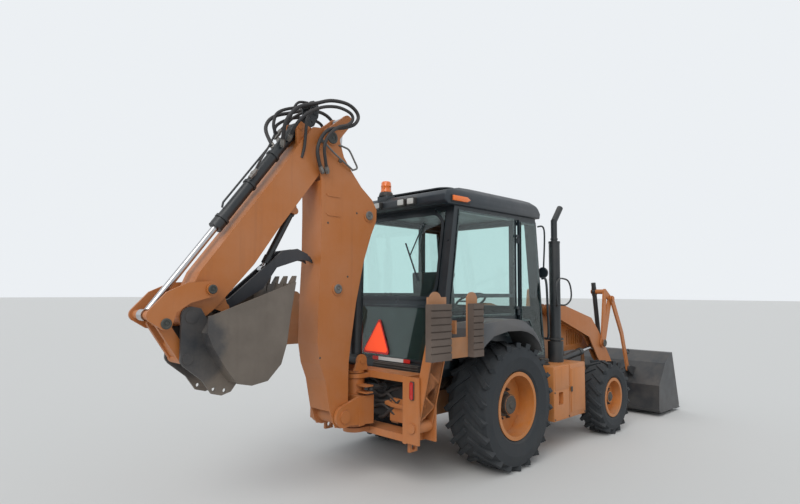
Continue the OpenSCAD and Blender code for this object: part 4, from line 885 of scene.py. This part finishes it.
fit("hose_bracket", black_steel,
    joined([plate([(-1.960, 3.270), (-1.890, 3.310), (-1.845, 3.400), (-1.835, 3.480), (-1.850, 3.530),
                   (-1.900, 3.548), (-1.945, 3.530), (-1.930, 3.470), (-1.935, 3.400), (-1.960, 3.340)],
                  "XZ", y, y + 0.014, 0.004) for y in (-0.080, 0.050)]
           + [turned([(0, 0), (radius, 0), (radius, 0.15), (0, 0.15)], spot(x, -0.085, z), (0, 1, 0), 16)
              for x, z, radius in ((-1.905, 3.505, 0.026), (-1.880, 3.430, 0.020), (-1.910, 3.350, 0.016))]),
    "dipper")
elbow_pipes = [
    (0.014, [(-1.90, -0.06, 3.50), (-2.02, -0.07, 3.46), (-2.202, -0.08, 3.394), (-2.303, -0.09, 3.326),
             (-2.331, -0.09, 3.23), (-2.309, -0.08, 3.173), (-2.269, -0.06, 3.163)]),
    (0.012, [(-1.93, -0.03, 3.53), (-2.023, -0.03, 3.515), (-2.075, -0.03, 3.461), (-2.126, -0.03, 3.339),
             (-2.188, -0.022, 3.246), (-2.238, -0.02, 3.190)]),
    (0.014, [(-1.84, 0.04, 3.50), (-1.92, 0.10, 3.46), (-2.03, 0.135, 3.36), (-2.06, 0.135, 3.22),
             (-2.08, 0.128, 3.08), (-2.12, 0.112, 2.98)]),
    (0.014, [(-1.82, -0.05, 3.50), (-1.90, -0.11, 3.46), (-2.00, -0.13, 3.36), (-2.02, -0.13, 3.22),
             (-2.03, -0.125, 3.08), (-2.05, -0.112, 2.98)]),
    (0.009, [(-2.30, -0.07, 3.16), (-2.356, -0.07, 3.04), (-2.44, -0.075, 2.90), (-2.50, -0.07, 2.78)])]
for index, (radius, route) in enumerate(elbow_pipes):
    fit("elbow_pipe_%d" % index, hose_rubber, pipe(route, radius), "dipper", smooth=60)
for index, (here, toward) in enumerate((((-2.234, -0.02, 3.184), (-0.5, 0, -0.7)),
                                        ((-2.269, -0.06, 3.163), (-0.5, 0, -0.7)),
                                        ((-2.500, -0.07, 2.780), (-0.6, 0, -0.79)))):
    fit("pipe_fitting_%d" % index, fitting_steel,
        turned([(0, -0.04), (0.017, -0.04), (0.017, -0.01), (0.023, -0.008), (0.023, 0.022), (0.018, 0.026),
                (0.018, 0.06), (0, 0.06)], spot(*here), toward, 6), "tool_barrel")
along = Vector((-0.611755, 0, -0.791048))
across = Vector((-0.791048, 0, 0.611755))
barrel_foot = spot(-2.0461, 0, 3.2680)
run = [barrel_foot + along * down + across * out for down, out in
       ((0.30, 0.068), (0.34, 0.080), (0.60, 0.080), (1.02, 0.080), (1.06, 0.060))]
fit("tool_cylinder_pipe", black_steel, bent_tube(run, 0.009), "tool_barrel", smooth=60)
for index, down in enumerate((0.36, 0.72, 1.12)):
    fit("tool_cylinder_band_%d" % index, black_steel,
        turned([(0.050, 0), (0.0605, 0.002), (0.0605, 0.026), (0.050, 0.028)],
               barrel_foot + along * down, along, 32), "tool_barrel")
frame_pipes = [
    [(-1.007, 0.20, 0.86), (-1.0525, 0.05, 0.82), (-1.0595, -0.12, 0.76),
     (-1.042, -0.28, 0.84), (-1.0035, -0.42, 0.87)],
    [(-1.007, 0.22, 0.66), (-1.056, 0.02, 0.62), (-1.063, -0.15, 0.68),
     (-1.042, -0.33, 0.60), (-1.0035, -0.46, 0.66)],
    [(-1.007, 0.10, 0.91), (-1.042, -0.05, 0.90), (-1.0525, -0.20, 0.80),
     (-1.042, -0.36, 0.70), (-1.0035, -0.48, 0.60)],
    [(-1.007, -0.05, 0.54), (-1.049, -0.15, 0.56), (-1.0595, -0.28, 0.66),
     (-1.042, -0.40, 0.76), (-1.0035, -0.50, 0.84)],
    [(-1.007, 0.30, 0.74), (-1.0455, 0.15, 0.72), (-1.056, -0.02, 0.70),
     (-1.056, -0.22, 0.72), (-1.007, -0.40, 0.76)]]
for index, route in enumerate(frame_pipes):
    fit("frame_pipe_%d" % index, hose_rubber, pipe(route, 0.016), smooth=60)
fit("valve_block", black_steel,
    plate(rounded((-0.46, 0.56), (0.30, 0.86), 0.02), "YZ", -1.035, -0.985, 0.006))
fit("swing_bar", arm_orange,
    plate([(-0.50, 0.715), (-0.30, 0.715), (-0.24, 0.735), (-0.20, 0.72), (-0.20, 0.69), (-0.30, 0.675),
           (-0.50, 0.675)], "YZ", -1.085, -1.065, 0.004))


def two_tone(name, slot_name, paint, other, middle, reach, **values):
    """A weathered finish with a second paint round one place."""
    material = weathered(name, slot_name, paint, 0.5, **values)
    tree = material.node_tree
    group = next(n for n in tree.nodes if n.type == "GROUP")
    where = tree.nodes.new("ShaderNodeTexCoord").outputs["Object"]
    far = tree.nodes.new("ShaderNodeVectorMath")
    far.operation = "DISTANCE"
    feed(far.inputs[0], where)
    feed(far.inputs[1], middle)
    ragged = add_math(tree, "ADD", far.outputs["Value"],
                      add_math(tree, "MULTIPLY", add_noise(tree, where, 9.0), 0.10))
    mask = add_range(tree, ragged, reach, reach + 0.05)
    dial(group, Paint=add_mix(tree, mask, (*other, 1), (*paint, 1)))
    return material


dig_steel = two_tone(
    "dig_steel", "dig_bucket_steel", (0.095, 0.078, 0.062), (0.014, 0.019, 0.026),
    tuple(spot(-3.06, 0.0, 1.40)), 0.40, dust=0.30, wear=0.75, fade=0.15, bump=0.5,
    dust_colour=(0.20, 0.17, 0.14), bare=(0.10, 0.085, 0.075))
finish_nodes(dig_steel, "dig_bucket")
thumb_black = weathered(
    "thumb_black", "black_paint", (0.012, 0.017, 0.026), 0.42, dust=0.14, wear=0.4, fade=0.04)
finish_nodes(thumb_black, "thumb")
fit("thumb_hook_tip", thumb_black,
    joined([plate([(-1.950, 2.064), (-1.936, 2.120), (-1.905, 2.103), (-1.878, 2.072), (-1.868, 2.040),
                   (-1.900, 2.056), (-1.935, 2.063)], "XZ", y, y + 0.023, 0.003) for y in (-0.0635, 0.0405)]),
    "thumb")

# Stabilizer legs
# Each leg is an open channel with a zigzag of flat bars welded between its flanges. A thin dark sheet over
# the back of the channel is painted shade in its recess, with dust on it.
# A darker copy of the orange, as painted shade for the channel's recess, with real dust over it.
channel_shade_and_dirt = weathered(
    "channel_shade_and_dirt", "orange_paint", (0.17, 0.060, 0.020), 0.7, dust=0.5, wear=0.2, fade=0.1,
    dust_colour=(0.11, 0.075, 0.055))
leg_x, leg_y, leg_z, leg_lean, leg_flange = -1.120, 0.720, 0.570, 76.0, 0.081
bar_foot, bar_pitch, bar_height = 0.075, 0.112, 0.015
zigzag = [((leg_flange - 0.008) * (1 if index % 2 else -1), bar_foot + bar_pitch * index)
          for index in range(8)]
zigzag += [(a, b + bar_height) for a, b in reversed(zigzag)]
for side, label in both_sides:
    stand = (Matrix.Translation(spot(leg_x, side * leg_y, leg_z))
             @ Matrix.Rotation(math.radians(side * (leg_lean - 90)), 4, "X"))
    bars = plate(zigzag, "XZ", side * -0.036, side * 0.047)
    # A thin dark sheet laid just over the channel's web: painted shade in the recess between the bars.
    back = plate([(-leg_flange, 0.06), (leg_flange, 0.06), (leg_flange, 0.87), (-leg_flange, 0.87)], "XZ",
                 side * -0.0358, side * -0.0335)
    for piece, name, material in ((bars, "leg_bars_", arm_orange), (back, "leg_shade_sheet_", channel_shade_and_dirt)):
        for vertex in piece.data.vertices:
            vertex.co.x -= axle_x
        piece.matrix_world = stand
        fit(name + label, material, piece, "leg_" + label, smooth=20)

# Stabilizer feet
# Folded plate feet in dusty orange with cleated rubber pads, packed with dried mud.
foot_orange = weathered(
    "foot_orange", "orange_paint", (0.40, 0.170, 0.060), 0.6, dust=0.55, wear=0.35, fade=0.25,
    dust_colour=(0.21, 0.15, 0.115))
finish_nodes(foot_orange, "foot_left", "foot_right")
pad_mud = weathered(
    "pad_mud", "pad_rubber", (0.085, 0.066, 0.055), 0.85, dust=0.55, fade=0.10, bump=0.9,
    dust_colour=(0.20, 0.14, 0.11))
finish_nodes(pad_mud, "pads_left", "pads_right")
